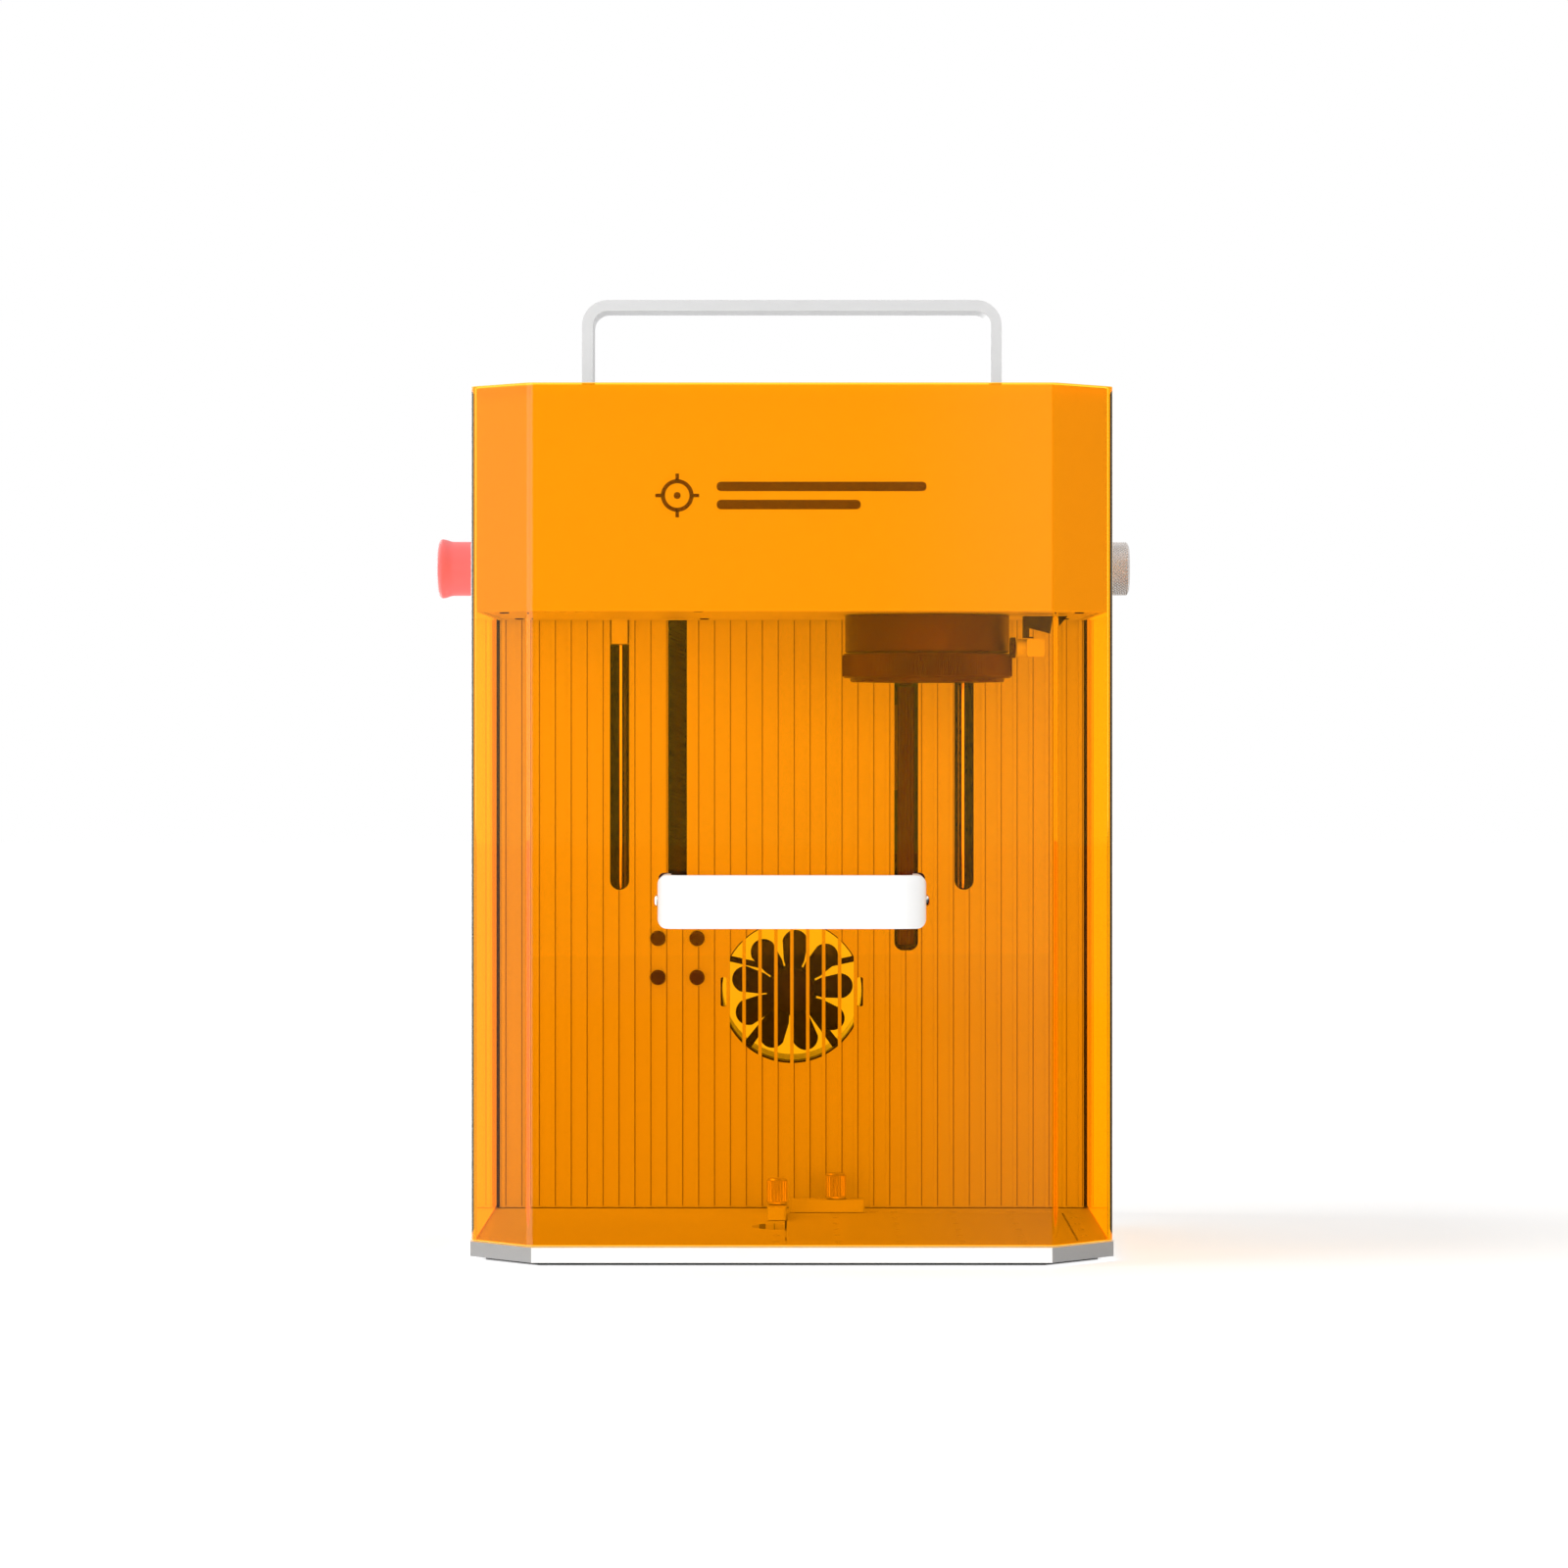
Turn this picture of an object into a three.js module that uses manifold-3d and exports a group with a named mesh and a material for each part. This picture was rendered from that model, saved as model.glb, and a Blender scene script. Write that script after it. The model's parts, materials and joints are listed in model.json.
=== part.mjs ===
// A desktop galvanometer laser engraver: a white octagonal base, a tinted acrylic safety door that slides
// up round a lifting laser head, and a rear housing that holds the lift, the fan and the electronics.
// Millimetres. +X is right as seen from the front, +Y runs to the back, +Z is up, and the origin is the
// centre of the underside.
import * as THREE from "three";
import { mergeVertices } from "three/addons/utils/BufferGeometryUtils.js";
import Module from "manifold-3d";

const wasm = await Module();
wasm.setup();

// ---- Driving dimensions --------------------------------------------------------------------------------

const GAP = 0.3; // between faces that touch
const RUN = 0.3; // radial clearance of what turns or slides in a hole
const OVER = 1; // how far a cutter runs past what it cuts
const DIAGONAL_LOSS = 2 - Math.SQRT2; // a 45 degree chamfer gets this much shorter per unit of inset

// The overall sizes: width and depth are the base's, height is the housing's.
const BASE = { halfWidth: 104, front: -92.5, back: 92.5, chamfer: 21, thickness: 4.8, top: 6 };
const PAD = { thickness: 1, inset: 5 };
const TOP = 282;

// The wall between the work chamber and the housing, and the housing round it. The wall ends inside the
// door's side panels, so it narrows when their sheet gets thicker.
const SHEET = 2;
const WALL = {
  halfWidth: BASE.halfWidth - 1.7 - SHEET, front: 42, thickness: 2, rib: 0.8, ribWidth: 1.2, ribPitch: 5.5,
};
const HOUSING = {
  halfWidth: BASE.halfWidth + 1.4, wall: 1.2, front: WALL.front, back: BASE.back, top: TOP, bottom: 1.2,
  bend: 3,
};
const STRIP = { leg: 0.8, back: WALL.front + 8, web: 1.8 };
const COVER = { back: BASE.back - 1.6, thickness: 1.5 };
const COVER_VENT = { count: 6, width: 34, height: 3, pitch: 7.5, x: 56, z: TOP - 57 };
const SIDE_CONTROLS = { y: BASE.back - 24.5, z: TOP - 54.4 };
const TOP_HANDLE = {
  y: SIDE_CONTROLS.y, depth: 20, width: 146.3, thickness: 3.8, top: TOP + 39, cornerRadius: 9, foot: 14,
};

// The work area, under the lens.
const FIELD = {
  x: BASE.halfWidth - 59, y: BASE.front + 70.5, pitch: 20, across: 6, holeRadius: 1.25, holeDepth: 3.7,
};
const BED = { size: 93.4, thickness: 2.2, gap: 0.6, notchRadius: 11.6 };

const DOOR = {
  halfWidth: BASE.halfWidth - 0.4, front: BASE.front + 0.5, back: WALL.front + 5.5,
  chamfer: BASE.chamfer - 1.5, thickness: SHEET, bottom: BASE.top + 0.5, top: TOP,
};
const DOOR_HANDLE = { z: 117, width: 84.8, height: 16.8, reach: 24, thickness: 4, cornerRadius: 8 };
const DOOR_POST = { padHeight: 17.2, padThickness: 2.4, bossWidth: 7, bossHeight: 11, bossDepth: 12 };
const SIDE_SCREW = { headRadius: 1.9, headHeight: 1.2, shankRadius: 1.2 };

// The head: heights below and above its own underside.
const HEAD = {
  bottom: TOP - 73, top: TOP - 0.5, back: WALL.front - 0.5, wall: 1.8, clearance: 0.5, floor: 2,
  floorRecess: 0.4,
};
const HEAD_VENT = {
  count: 5, width: 2.4, length: 12, pitch: 5, x: 19.6 - DOOR.halfWidth, y: DOOR.front + 26,
};
const BARREL = { radius: 27.25, bore: 22.8, bottom: HEAD.bottom - 12.2 };
const RING = { radius: BARREL.radius + 1, bottom: HEAD.bottom - 20.6, top: BARREL.bottom - GAP, bore: 22.4 };
const RING_LIP = { radius: RING.radius - 2.65, bottom: RING.bottom - 1.4, bore: 20 };
const LENS = { radius: RING.bore - 0.4, edge: 3.4, crown: 2.4 };
const GALVO = {
  z: HEAD.bottom + 29, mirrorGap: 14, mirror: 10, mirrorThickness: 1.5, motorRadius: 7, motorLength: 21,
};
const GALVO_BLOCK = { halfX: 23, front: -20, back: 28, wall: 8, top: GALVO.z + 18 };
const GALVO_SHAFT = { radius: 1.5, depth: 6 };
const LASER = {
  endGap: 28, width: 36, height: 40, z: HEAD.bottom + 9, fins: 9, finHeight: 10, snout: 8, beam: 5,
};
const POINTER = {
  left: FIELD.x + RING.radius + 4.25, y: FIELD.y - 11, z: HEAD.bottom - 10.7, size: 5.8, depth: 8,
  neckRadius: 2.8, capRadius: 3.4,
};

const FAN = { z: 80.7, radius: 24.6, depth: 10, hubRadius: 8.2, blades: 9, strut: 2, strutDepth: 1.6 };

// The lift behind the wall, over the fan and beside it, the slots that it works through, and what carries
// the head on it.
const LIFT_FOOT = FAN.z + FAN.radius + 1.2;
const ROD = { x: FAN.radius + 34.9, radius: 3, y: WALL.front + 15 };
const SCREW = { x: -FAN.radius - 14.9, radius: 4 };
const CABLE = { x: FAN.radius + 14.9, width: 6, thickness: 2, front: WALL.front + 5 };
const ROD_SLOT = { width: ROD.radius + 3.6, bottom: LIFT_FOOT + 9.4 };
const SCREW_SLOT = { width: 6.5, bottom: LIFT_FOOT + 5.5 };
const CABLE_SLOT = { width: CABLE.width + 2.2, bottom: LIFT_FOOT - 11.5, cornerRadius: 3 };
const SLOT_TOP = TOP - 14;
const UPPER_BRACKET = {
  bottom: TOP - 13, height: 8, halfWidth: ROD.x + 8.5, front: WALL.front + 9, back: WALL.front + 22, leg: 4.5,
};
const LOWER_BRACKET = {
  bottom: LIFT_FOOT, height: 5.5, plate: 1.6, plateBottom: LIFT_FOOT - 26.5, shelf: 2.5, width: 20,
};
const MOTOR = { size: 20, length: 28, shaftHole: SCREW.radius + 1 };
const WALL_SCREW = {
  pitch: 13.5, z: LIFT_FOOT - 14.1, headRadius: 2.65, headHeight: 1.4, shankRadius: 1.3, socket: 0.9,
};
const CARRIAGE = {
  tongue: ROD_SLOT.width - 0.9, bottom: HEAD.bottom - 8.2, top: HEAD.bottom + 53, blockWidth: 18,
  blockDepth: 15,
};
const NUT = {
  tongue: SCREW_SLOT.width - 1, bottom: HEAD.bottom + 17, top: HEAD.bottom + 43, blockWidth: 16,
  blockDepth: 14,
};
const CLAMP = { width: 4.7, bottom: HEAD.bottom - 22.6, top: HEAD.bottom + 21, back: WALL.front + 8.5 };

// The controls lie along X: each reach is a distance from the machine's middle plane.
const ESTOP = {
  end: HOUSING.halfWidth + 18.9, inner: HOUSING.halfWidth + 6.1, rimRadius: 10.35, neckRadius: 9.45,
};
const ESTOP_COLLAR = { radius: 11.5, thickness: 1.5 };
const ESTOP_BODY = {
  barrelRadius: 7.8, barrelEnd: HOUSING.halfWidth - 13.4, block: 18, blockEnd: HOUSING.halfWidth - 29.4,
  stemRadius: 4, stemEnd: HOUSING.halfWidth - 12.4,
};
const KNOB = {
  radius: 9.375, inner: HOUSING.halfWidth + 1, knurlEnd: HOUSING.halfWidth + 11.8,
  end: HOUSING.halfWidth + 12.6, shaftRadius: 2.5,
};
const ENCODER = {
  bushRadius: 4.5, bushEnd: HOUSING.halfWidth + 2, size: 13, inner: HOUSING.halfWidth - 13.4,
};

const POWER = {
  x: 34 - BASE.halfWidth, z: 34, width: 38, height: 22, depth: 18, flange: 1.3, flangeRim: 3, jackRadius: 3.2,
};
const ROCKER = {
  x: POWER.x + 9, width: 13, height: 15.2, pivotY: COVER.back - 5.9, tilt: 8, pocketDepth: 14,
};
const USB = {
  x: BASE.halfWidth - 44, z: 34, width: 12, height: 7, depth: 13, mouthWidth: 9, mouthHeight: 3.2,
  tongueWidth: 6.6, tongueHeight: 0.8,
};
const BOARD = { halfWidth: 55, bottom: 118, top: 190, front: COVER.back - 11.9, thickness: 1.6 };
// What stands on the board: left, right, bottom, top and height above it.
const BOARD_PARTS = {
  processor: [-20, 8, 140, 166, 3],
  screwTerminal: [24, 48, 120, 128, 8],
  capacitors: [-50, -30, 122, 136, 10],
  driver: [20, 40, 150, 180, 6],
};

const FENCE = { length: 26, width: 6.4, height: 4.3, cornerRadius: 1, lift: 0.2 };
const THUMBSCREW = { radius: 3.55, height: 8.7, shankRadius: 1 };
const FENCE_LONG_END = { left: 14.7, back: 16 }; // from the thumbscrew to the fence's far end

// ---- Materials -----------------------------------------------------------------------------------------

const finish = (color, roughness, metalness = 0, opacity = 1) =>
  new THREE.MeshStandardMaterial({ color, roughness, metalness, opacity, transparent: opacity < 1 });

const WHITE_PAINT = finish(0xf2f2f0, 0.5);
const WHITE_PLASTIC = finish(0xf6f6f4, 0.45);
const ACRYLIC = finish(0xff9a00, 0.05, 0, 0.45);
const BLACK_PLASTIC = finish(0x18181a, 0.55);
const BLACK_METAL = finish(0x1c1c1f, 0.35, 0.8);
const ALUMINIUM = finish(0xb9bcc0, 0.35, 1);
const STEEL = finish(0xc8cacd, 0.22, 1);
const BRASS = finish(0xb58a3c, 0.3, 1);
const RED_PLASTIC = finish(0xf0222a, 0.35);
const RUBBER = finish(0x232323, 0.85);
const GLASS = finish(0xbfd4e6, 0.03, 0, 0.4);
const MIRROR = finish(0xe8e8ea, 0.03, 1);
const BOARD_GREEN = finish(0x1f5a3a, 0.5);

// ---- Solids --------------------------------------------------------------------------------------------

// A closed three.js geometry as a manifold-3d solid, with its faces turned outwards.
function solid(geometry) {
  const bare = geometry.clone();
  bare.deleteAttribute("normal");
  bare.deleteAttribute("uv");
  const merged = mergeVertices(bare, 1e-4);
  const position = merged.getAttribute("position");
  const corner = (i) => new THREE.Vector3().fromBufferAttribute(position, i);
  const faces = [];
  let volume = 0;
  for (let i = 0; i < merged.index.count; i += 3) {
    const [a, b, c] = [0, 1, 2].map((k) => merged.index.getX(i + k));
    if (a === b || b === c || c === a) continue; // a pole's quads have one empty triangle
    faces.push([a, b, c]);
    volume += corner(a).dot(corner(b).cross(corner(c)));
  }
  const triVerts = new Uint32Array(faces.flatMap((f) => (volume < 0 ? f.reverse() : f)));
  return new wasm.Manifold(new wasm.Mesh({ numProp: 3, vertProperties: position.array, triVerts }));
}

const box = (x0, x1, y0, y1, z0, z1) =>
  solid(
    new THREE.BoxGeometry(x1 - x0, y1 - y0, z1 - z0).translate((x0 + x1) / 2, (y0 + y1) / 2, (z0 + z1) / 2),
  );

// Two values in rising order, for a box's ends.
const span = (a, b) => [Math.min(a, b), Math.max(a, b)];

const extruded = (shape, depth, curveSegments) =>
  new THREE.ExtrudeGeometry(shape, { depth, bevelEnabled: false, curveSegments });

// A plan shape (x, y), standing from z0 to z1.
const standing = (shape, z0, z1, steps = 3) => solid(extruded(shape, z1 - z0, steps).translate(0, 0, z0));

// A front-view shape (x, z), running from y0 to y1.
const running = (shape, y0, y1, steps = 3) =>
  solid(extruded(shape, y1 - y0, steps).rotateX(Math.PI / 2).translate(0, y1, 0));

// A side-view shape (y, z), reaching from x0 to x1.
const SIDE_VIEW = new THREE.Matrix4().set(0, 0, 1, 0, 1, 0, 0, 0, 0, 1, 0, 0, 0, 0, 0, 1);
const reaching = (shape, x0, x1) =>
  solid(extruded(shape, x1 - x0, 3).applyMatrix4(SIDE_VIEW).translate(x0, 0, 0));

// A round body about the Z axis from [radius, height] points.
const turned = (profile, sides = 24) =>
  solid(
    new THREE.LatheGeometry(profile.map(([r, h]) => new THREE.Vector2(r, h)), sides).rotateX(Math.PI / 2),
  );

// A cylinder about the Z axis.
function rod(radius, z0, z1, sides = 24) {
  const cylinder = new THREE.CylinderGeometry(radius, radius, z1 - z0, sides);
  return solid(cylinder.rotateX(Math.PI / 2).translate(0, 0, (z0 + z1) / 2));
}

const tube = (outer, inner, z0, z1, sides = 36) =>
  rod(outer, z0, z1, sides).subtract(rod(inner, z0 - OVER, z1 + OVER, sides));

// Turns a solid that stands along Z to lie along +X or +Y.
const alongX = (body) => body.rotate([0, 90, 0]);
const alongY = (body) => body.rotate([-90, 0, 0]);

const polygon = (points) => new THREE.Shape(points.map(([u, v]) => new THREE.Vector2(u, v)));

// A rectangle with round corners, centred at (u, v).
function roundedRectangle(width, height, radius, u = 0, v = 0) {
  const [left, right, low, high] = [u - width / 2, u + width / 2, v - height / 2, v + height / 2];
  return new THREE.Shape()
    .moveTo(left + radius, low)
    .lineTo(right - radius, low)
    .absarc(right - radius, low + radius, radius, -Math.PI / 2, 0)
    .lineTo(right, high - radius)
    .absarc(right - radius, high - radius, radius, 0, Math.PI / 2)
    .lineTo(left + radius, high)
    .absarc(left + radius, high - radius, radius, Math.PI / 2, Math.PI)
    .lineTo(left, low + radius)
    .absarc(left + radius, low + radius, radius, Math.PI, 1.5 * Math.PI);
}

// An upright slot with a round lower end and a flat upper end.
const slot = (u, width, low, high) =>
  new THREE.Shape()
    .moveTo(u + width / 2, high)
    .lineTo(u - width / 2, high)
    .lineTo(u - width / 2, low + width / 2)
    .absarc(u, low + width / 2, width / 2, Math.PI, 2 * Math.PI);

// A bar bent to a U with round outer corners: legs point to -v, the outer face of its back is at v = 0.
function bentBar(width, depth, thickness, outerRadius) {
  const half = width / 2;
  const innerRadius = Math.max(outerRadius - thickness, 0.5);
  const inner = half - thickness;
  return new THREE.Shape()
    .moveTo(half, -depth)
    .lineTo(half, -outerRadius)
    .absarc(half - outerRadius, -outerRadius, outerRadius, 0, Math.PI / 2)
    .lineTo(outerRadius - half, 0)
    .absarc(outerRadius - half, -outerRadius, outerRadius, Math.PI / 2, Math.PI)
    .lineTo(-half, -depth)
    .lineTo(-inner, -depth)
    .lineTo(-inner, -thickness - innerRadius)
    .absarc(innerRadius - inner, -thickness - innerRadius, innerRadius, Math.PI, Math.PI / 2, true)
    .lineTo(inner - innerRadius, -thickness)
    .absarc(inner - innerRadius, -thickness - innerRadius, innerRadius, Math.PI / 2, 0, true)
    .lineTo(inner, -depth);
}

// ---- Outlines that several pieces share ----------------------------------------------------------------

// A rectangle in plan whose two front corners are cut off at 45 degrees.
const chamferedPlan = ({ halfWidth, front, back, chamfer }) => [
  [-halfWidth, back],
  [-halfWidth, front + chamfer],
  [chamfer - halfWidth, front],
  [halfWidth - chamfer, front],
  [halfWidth, front + chamfer],
  [halfWidth, back],
];

const inset = (plan, by) => ({
  halfWidth: plan.halfWidth - by,
  front: plan.front + by,
  back: plan.back - by,
  chamfer: plan.chamfer - by * DIAGONAL_LOSS,
});

const headPlan = { ...inset(DOOR, DOOR.thickness + HEAD.clearance), back: HEAD.back };
const wallPlane = WALL.front + WALL.rib;
const wallBack = wallPlane + WALL.thickness;
const coverFront = COVER.back - COVER.thickness;
const housingInside = HOUSING.halfWidth - HOUSING.wall;
const ceiling = HOUSING.top - HOUSING.wall - GAP;
const fieldReach = ((FIELD.across - 1) / 2) * FIELD.pitch;
const fieldSteps = Array.from({ length: FIELD.across }, (_, i) => i * FIELD.pitch - fieldReach);

// A front view with square lower corners and two bent upper ones: the sleeve, and what closes it.
const arch = (half, bottom, top, bend) =>
  new THREE.Shape()
    .moveTo(-half, bottom)
    .lineTo(-half, top - bend)
    .absarc(bend - half, top - bend, bend, Math.PI, Math.PI / 2, true)
    .lineTo(half - bend, top)
    .absarc(half - bend, top - bend, bend, Math.PI / 2, 0, true)
    .lineTo(half, bottom);

// ---- The scene graph -----------------------------------------------------------------------------------

const engraver = new THREE.Group();

function group(parent = engraver, x = 0, y = 0, z = 0) {
  const made = new THREE.Group();
  made.position.set(x, y, z);
  parent.add(made);
  return made;
}

function piece(name, body, material, parent = engraver) {
  const { vertProperties, triVerts } = body.getMesh();
  const geometry = new THREE.BufferGeometry()
    .setAttribute("position", new THREE.BufferAttribute(vertProperties, 3))
    .setIndex(new THREE.BufferAttribute(triVerts, 1));
  geometry.computeVertexNormals();
  const mesh = new THREE.Mesh(geometry, material);
  mesh.name = name;
  parent.add(mesh);
  return mesh;
}

// ---- Base: rubber pad, base plate with its hole field, removable bed plate -----------------------------

function fieldHoles(top, depth, keep) {
  const hole = rod(FIELD.holeRadius, top - depth, top + OVER, 8);
  const places = fieldSteps.flatMap((x) => fieldSteps.map((y) => [x, y])).filter(keep);
  return wasm.Manifold.union(places.map(([x, y]) => hole.translate([FIELD.x + x, FIELD.y + y, 0])));
}

function addBase() {
  const base = group();
  const bedHalf = BED.size / 2;
  const underBed = ([x, y]) => Math.max(Math.abs(x), Math.abs(y)) < bedHalf;
  const bedEdge = FIELD.x - bedHalf;

  piece("base_pad", standing(polygon(chamferedPlan(inset(BASE, PAD.inset))), 0, PAD.thickness), RUBBER, base);

  const pocketHalf = bedHalf + BED.gap;
  const pocketFloor = BASE.top - BED.thickness - GAP;
  const pocket = box(
    FIELD.x - pocketHalf, FIELD.x + pocketHalf,
    FIELD.y - pocketHalf, FIELD.y + pocketHalf,
    pocketFloor, BASE.top + OVER,
  );
  const notch = rod(BED.notchRadius, pocketFloor, BASE.top + OVER).translate([bedEdge, FIELD.y, 0]);
  const plate = standing(polygon(chamferedPlan(BASE)), BASE.top - BASE.thickness, BASE.top)
    .subtract(pocket)
    .subtract(notch)
    .subtract(fieldHoles(BASE.top, FIELD.holeDepth, (place) => !underBed(place)));
  piece("base_plate", plate, WHITE_PAINT, base);

  const bed = box(
    FIELD.x - bedHalf, FIELD.x + bedHalf,
    FIELD.y - bedHalf, FIELD.y + bedHalf,
    BASE.top - BED.thickness, BASE.top,
  ).subtract(fieldHoles(BASE.top, BED.thickness + OVER, underBed));
  piece("bed_plate", bed, WHITE_PAINT, base);
}

// ---- Fences: two stop bars, each held down in the hole field by a thumbscrew ---------------------------

function addFence(side, x, y, turn, longEnd) {
  const fence = group(engraver, x, y, BASE.top + FENCE.lift);
  fence.rotation.z = turn;
  const bar = standing(
    roundedRectangle(FENCE.length, FENCE.width, FENCE.cornerRadius, longEnd - FENCE.length / 2),
    0,
    FENCE.height,
  ).subtract(rod(FIELD.holeRadius, -OVER, FENCE.height + OVER, 16));
  piece(side + "_fence", bar, WHITE_PLASTIC, fence);

  const headBottom = FENCE.height + FENCE.lift;
  const shankBottom = FENCE.lift - FIELD.holeDepth + GAP;
  const thumbscrew = rod(THUMBSCREW.radius, headBottom, headBottom + THUMBSCREW.height, 24).add(
    rod(THUMBSCREW.shankRadius, shankBottom, headBottom + OVER, 16),
  );
  piece(side + "_thumbscrew", thumbscrew, ALUMINIUM, fence);
}

function addFences() {
  const firstColumn = FIELD.x - fieldReach;
  const backRow = FIELD.y + fieldReach;
  addFence("left", firstColumn, backRow - FIELD.pitch, Math.PI / 2, FENCE_LONG_END.left);
  addFence("back", firstColumn + FIELD.pitch, backRow, Math.PI, FENCE_LONG_END.back);
}

// ---- Rear housing: sheet sleeve, ribbed wall, back cover, door guides ----------------------------------

function addHousing() {
  const housing = group();
  const { halfWidth, wall, front, back, top, bottom, bend } = HOUSING;
  const outside = running(arch(halfWidth, bottom, top, bend), front, back);
  const hollow = arch(housingInside, bottom - OVER, top - wall, bend - wall);
  const inside = running(hollow, front - OVER, back + OVER);
  const sideHole = (radius, sign) =>
    alongX(rod(radius, -wall - OVER, wall + OVER)).translate([
      sign * halfWidth,
      SIDE_CONTROLS.y,
      SIDE_CONTROLS.z,
    ]);
  // The door's side panels slide up through a notch in each front corner of the top.
  const doorPath = (sign) => {
    const ends = span(sign * (DOOR.halfWidth - DOOR.thickness - GAP), sign * housingInside);
    return box(...ends, front - OVER, DOOR.back + 2 * GAP, top - bend, top + OVER);
  };
  const shell = outside
    .subtract(inside)
    .subtract(doorPath(-1))
    .subtract(doorPath(1))
    .subtract(sideHole(ESTOP_BODY.barrelRadius + GAP, -1))
    .subtract(sideHole(ENCODER.bushRadius + GAP, 1));
  piece("rear_housing", shell, WHITE_PAINT, housing);

  for (const [side, sign] of [["left", -1], ["right", 1]]) {
    const legInside = WALL.halfWidth + GAP;
    const legOutside = legInside + STRIP.leg;
    const strip = polygon([
      [sign * legInside, WALL.front],
      [sign * legOutside, WALL.front],
      [sign * legOutside, STRIP.back - STRIP.web],
      [sign * (housingInside - GAP), STRIP.back - STRIP.web],
      [sign * (housingInside - GAP), STRIP.back],
      [sign * legInside, STRIP.back],
    ]);
    piece(side + "_guide_strip", standing(strip, BASE.top + GAP, top - bend - GAP), BLACK_PLASTIC, housing);
  }
}

// The fan grille: a round opening crossed by bars that carry on the wall's ribs.
function grilleOpening() {
  const bars = [];
  const reach = Math.floor(FAN.radius / WALL.ribPitch);
  for (let i = -reach; i <= reach; i++) {
    const x = i * WALL.ribPitch;
    bars.push(
      box(
        x - WALL.ribWidth / 2, x + WALL.ribWidth / 2,
        WALL.front - OVER, wallBack + OVER,
        FAN.z - 2 * FAN.radius, FAN.z + 2 * FAN.radius,
      ),
    );
  }
  const disc = alongY(rod(FAN.radius, WALL.front - OVER, wallBack + OVER, 36)).translate([0, 0, FAN.z]);
  return disc.subtract(wasm.Manifold.union(bars));
}

function addRibbedWall() {
  const ribs = Math.floor((WALL.halfWidth - WALL.ribWidth / 2) / WALL.ribPitch);
  const outline = [[-WALL.halfWidth, wallBack], [-WALL.halfWidth, wallPlane]];
  for (let i = -ribs; i <= ribs; i++) {
    const [left, right] = [i * WALL.ribPitch - WALL.ribWidth / 2, i * WALL.ribPitch + WALL.ribWidth / 2];
    outline.push([left, wallPlane], [left, WALL.front]);
    outline.push([right, WALL.front], [right, wallPlane]);
  }
  outline.push([WALL.halfWidth, wallPlane], [WALL.halfWidth, wallBack]);
  const through = (shape, steps) => running(shape, WALL.front - OVER, wallBack + OVER, steps);
  const cableSlot = roundedRectangle(
    CABLE_SLOT.width,
    SLOT_TOP - CABLE_SLOT.bottom,
    CABLE_SLOT.cornerRadius,
    CABLE.x,
    (SLOT_TOP + CABLE_SLOT.bottom) / 2,
  );
  const { headRadius, shankRadius } = WALL_SCREW;
  const screwSeat = alongY(
    rod(shankRadius + GAP, WALL.front - OVER, wallBack + OVER, 12).add(
      rod(headRadius + GAP, WALL.front - OVER, wallPlane, 24),
    ),
  );
  const ledge = box(
    CABLE.x - CABLE_SLOT.width / 2 - 2, CABLE.x + CABLE_SLOT.width / 2 + 2,
    wallBack - OVER / 2, CABLE.front + CABLE.thickness + 1,
    CABLE_SLOT.bottom - 9, CABLE_SLOT.bottom + 1.5,
  );
  let wall = standing(polygon(outline), BASE.top + GAP, ceiling)
    .subtract(through(slot(-ROD.x, ROD_SLOT.width, ROD_SLOT.bottom, SLOT_TOP), 8))
    .subtract(through(slot(ROD.x, ROD_SLOT.width, ROD_SLOT.bottom, SLOT_TOP), 8))
    .subtract(through(slot(SCREW.x, SCREW_SLOT.width, SCREW_SLOT.bottom, SLOT_TOP), 8))
    .subtract(through(cableSlot))
    .subtract(grilleOpening())
    .add(ledge);
  for (const [x, z] of wallScrewPlaces()) wall = wall.subtract(screwSeat.translate([x, 0, z]));
  piece("ribbed_wall", wall, WHITE_PAINT);
}

const wallScrewPlaces = () =>
  [-1, 1].flatMap((i) =>
    [-1, 1].map((j) => [SCREW.x + (i * WALL_SCREW.pitch) / 2, WALL_SCREW.z + (j * WALL_SCREW.pitch) / 2]),
  );

function addRearCover() {
  const through = (shape) => running(shape, coverFront - OVER, COVER.back + OVER);
  const panel = arch(housingInside - GAP, BASE.top + GAP, ceiling, HOUSING.bend - HOUSING.wall);
  let cover = running(panel, coverFront, COVER.back)
    .subtract(alongY(rod(FAN.radius, coverFront - OVER, COVER.back + OVER, 36)).translate([0, 0, FAN.z]))
    .subtract(through(roundedRectangle(POWER.width + 2 * GAP, POWER.height + 2 * GAP, 1, POWER.x, POWER.z)))
    .subtract(through(roundedRectangle(USB.width + 2 * GAP, USB.height + 2 * GAP, 1, USB.x, USB.z)));
  for (let i = 0; i < COVER_VENT.count; i++) {
    const z = COVER_VENT.z + (i - (COVER_VENT.count - 1) / 2) * COVER_VENT.pitch;
    for (const side of [-1, 1])
      cover = cover.subtract(
        through(roundedRectangle(COVER_VENT.width, COVER_VENT.height, 1.2, side * COVER_VENT.x, z)),
      );
  }
  piece("rear_cover", cover, WHITE_PAINT);
}

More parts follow.
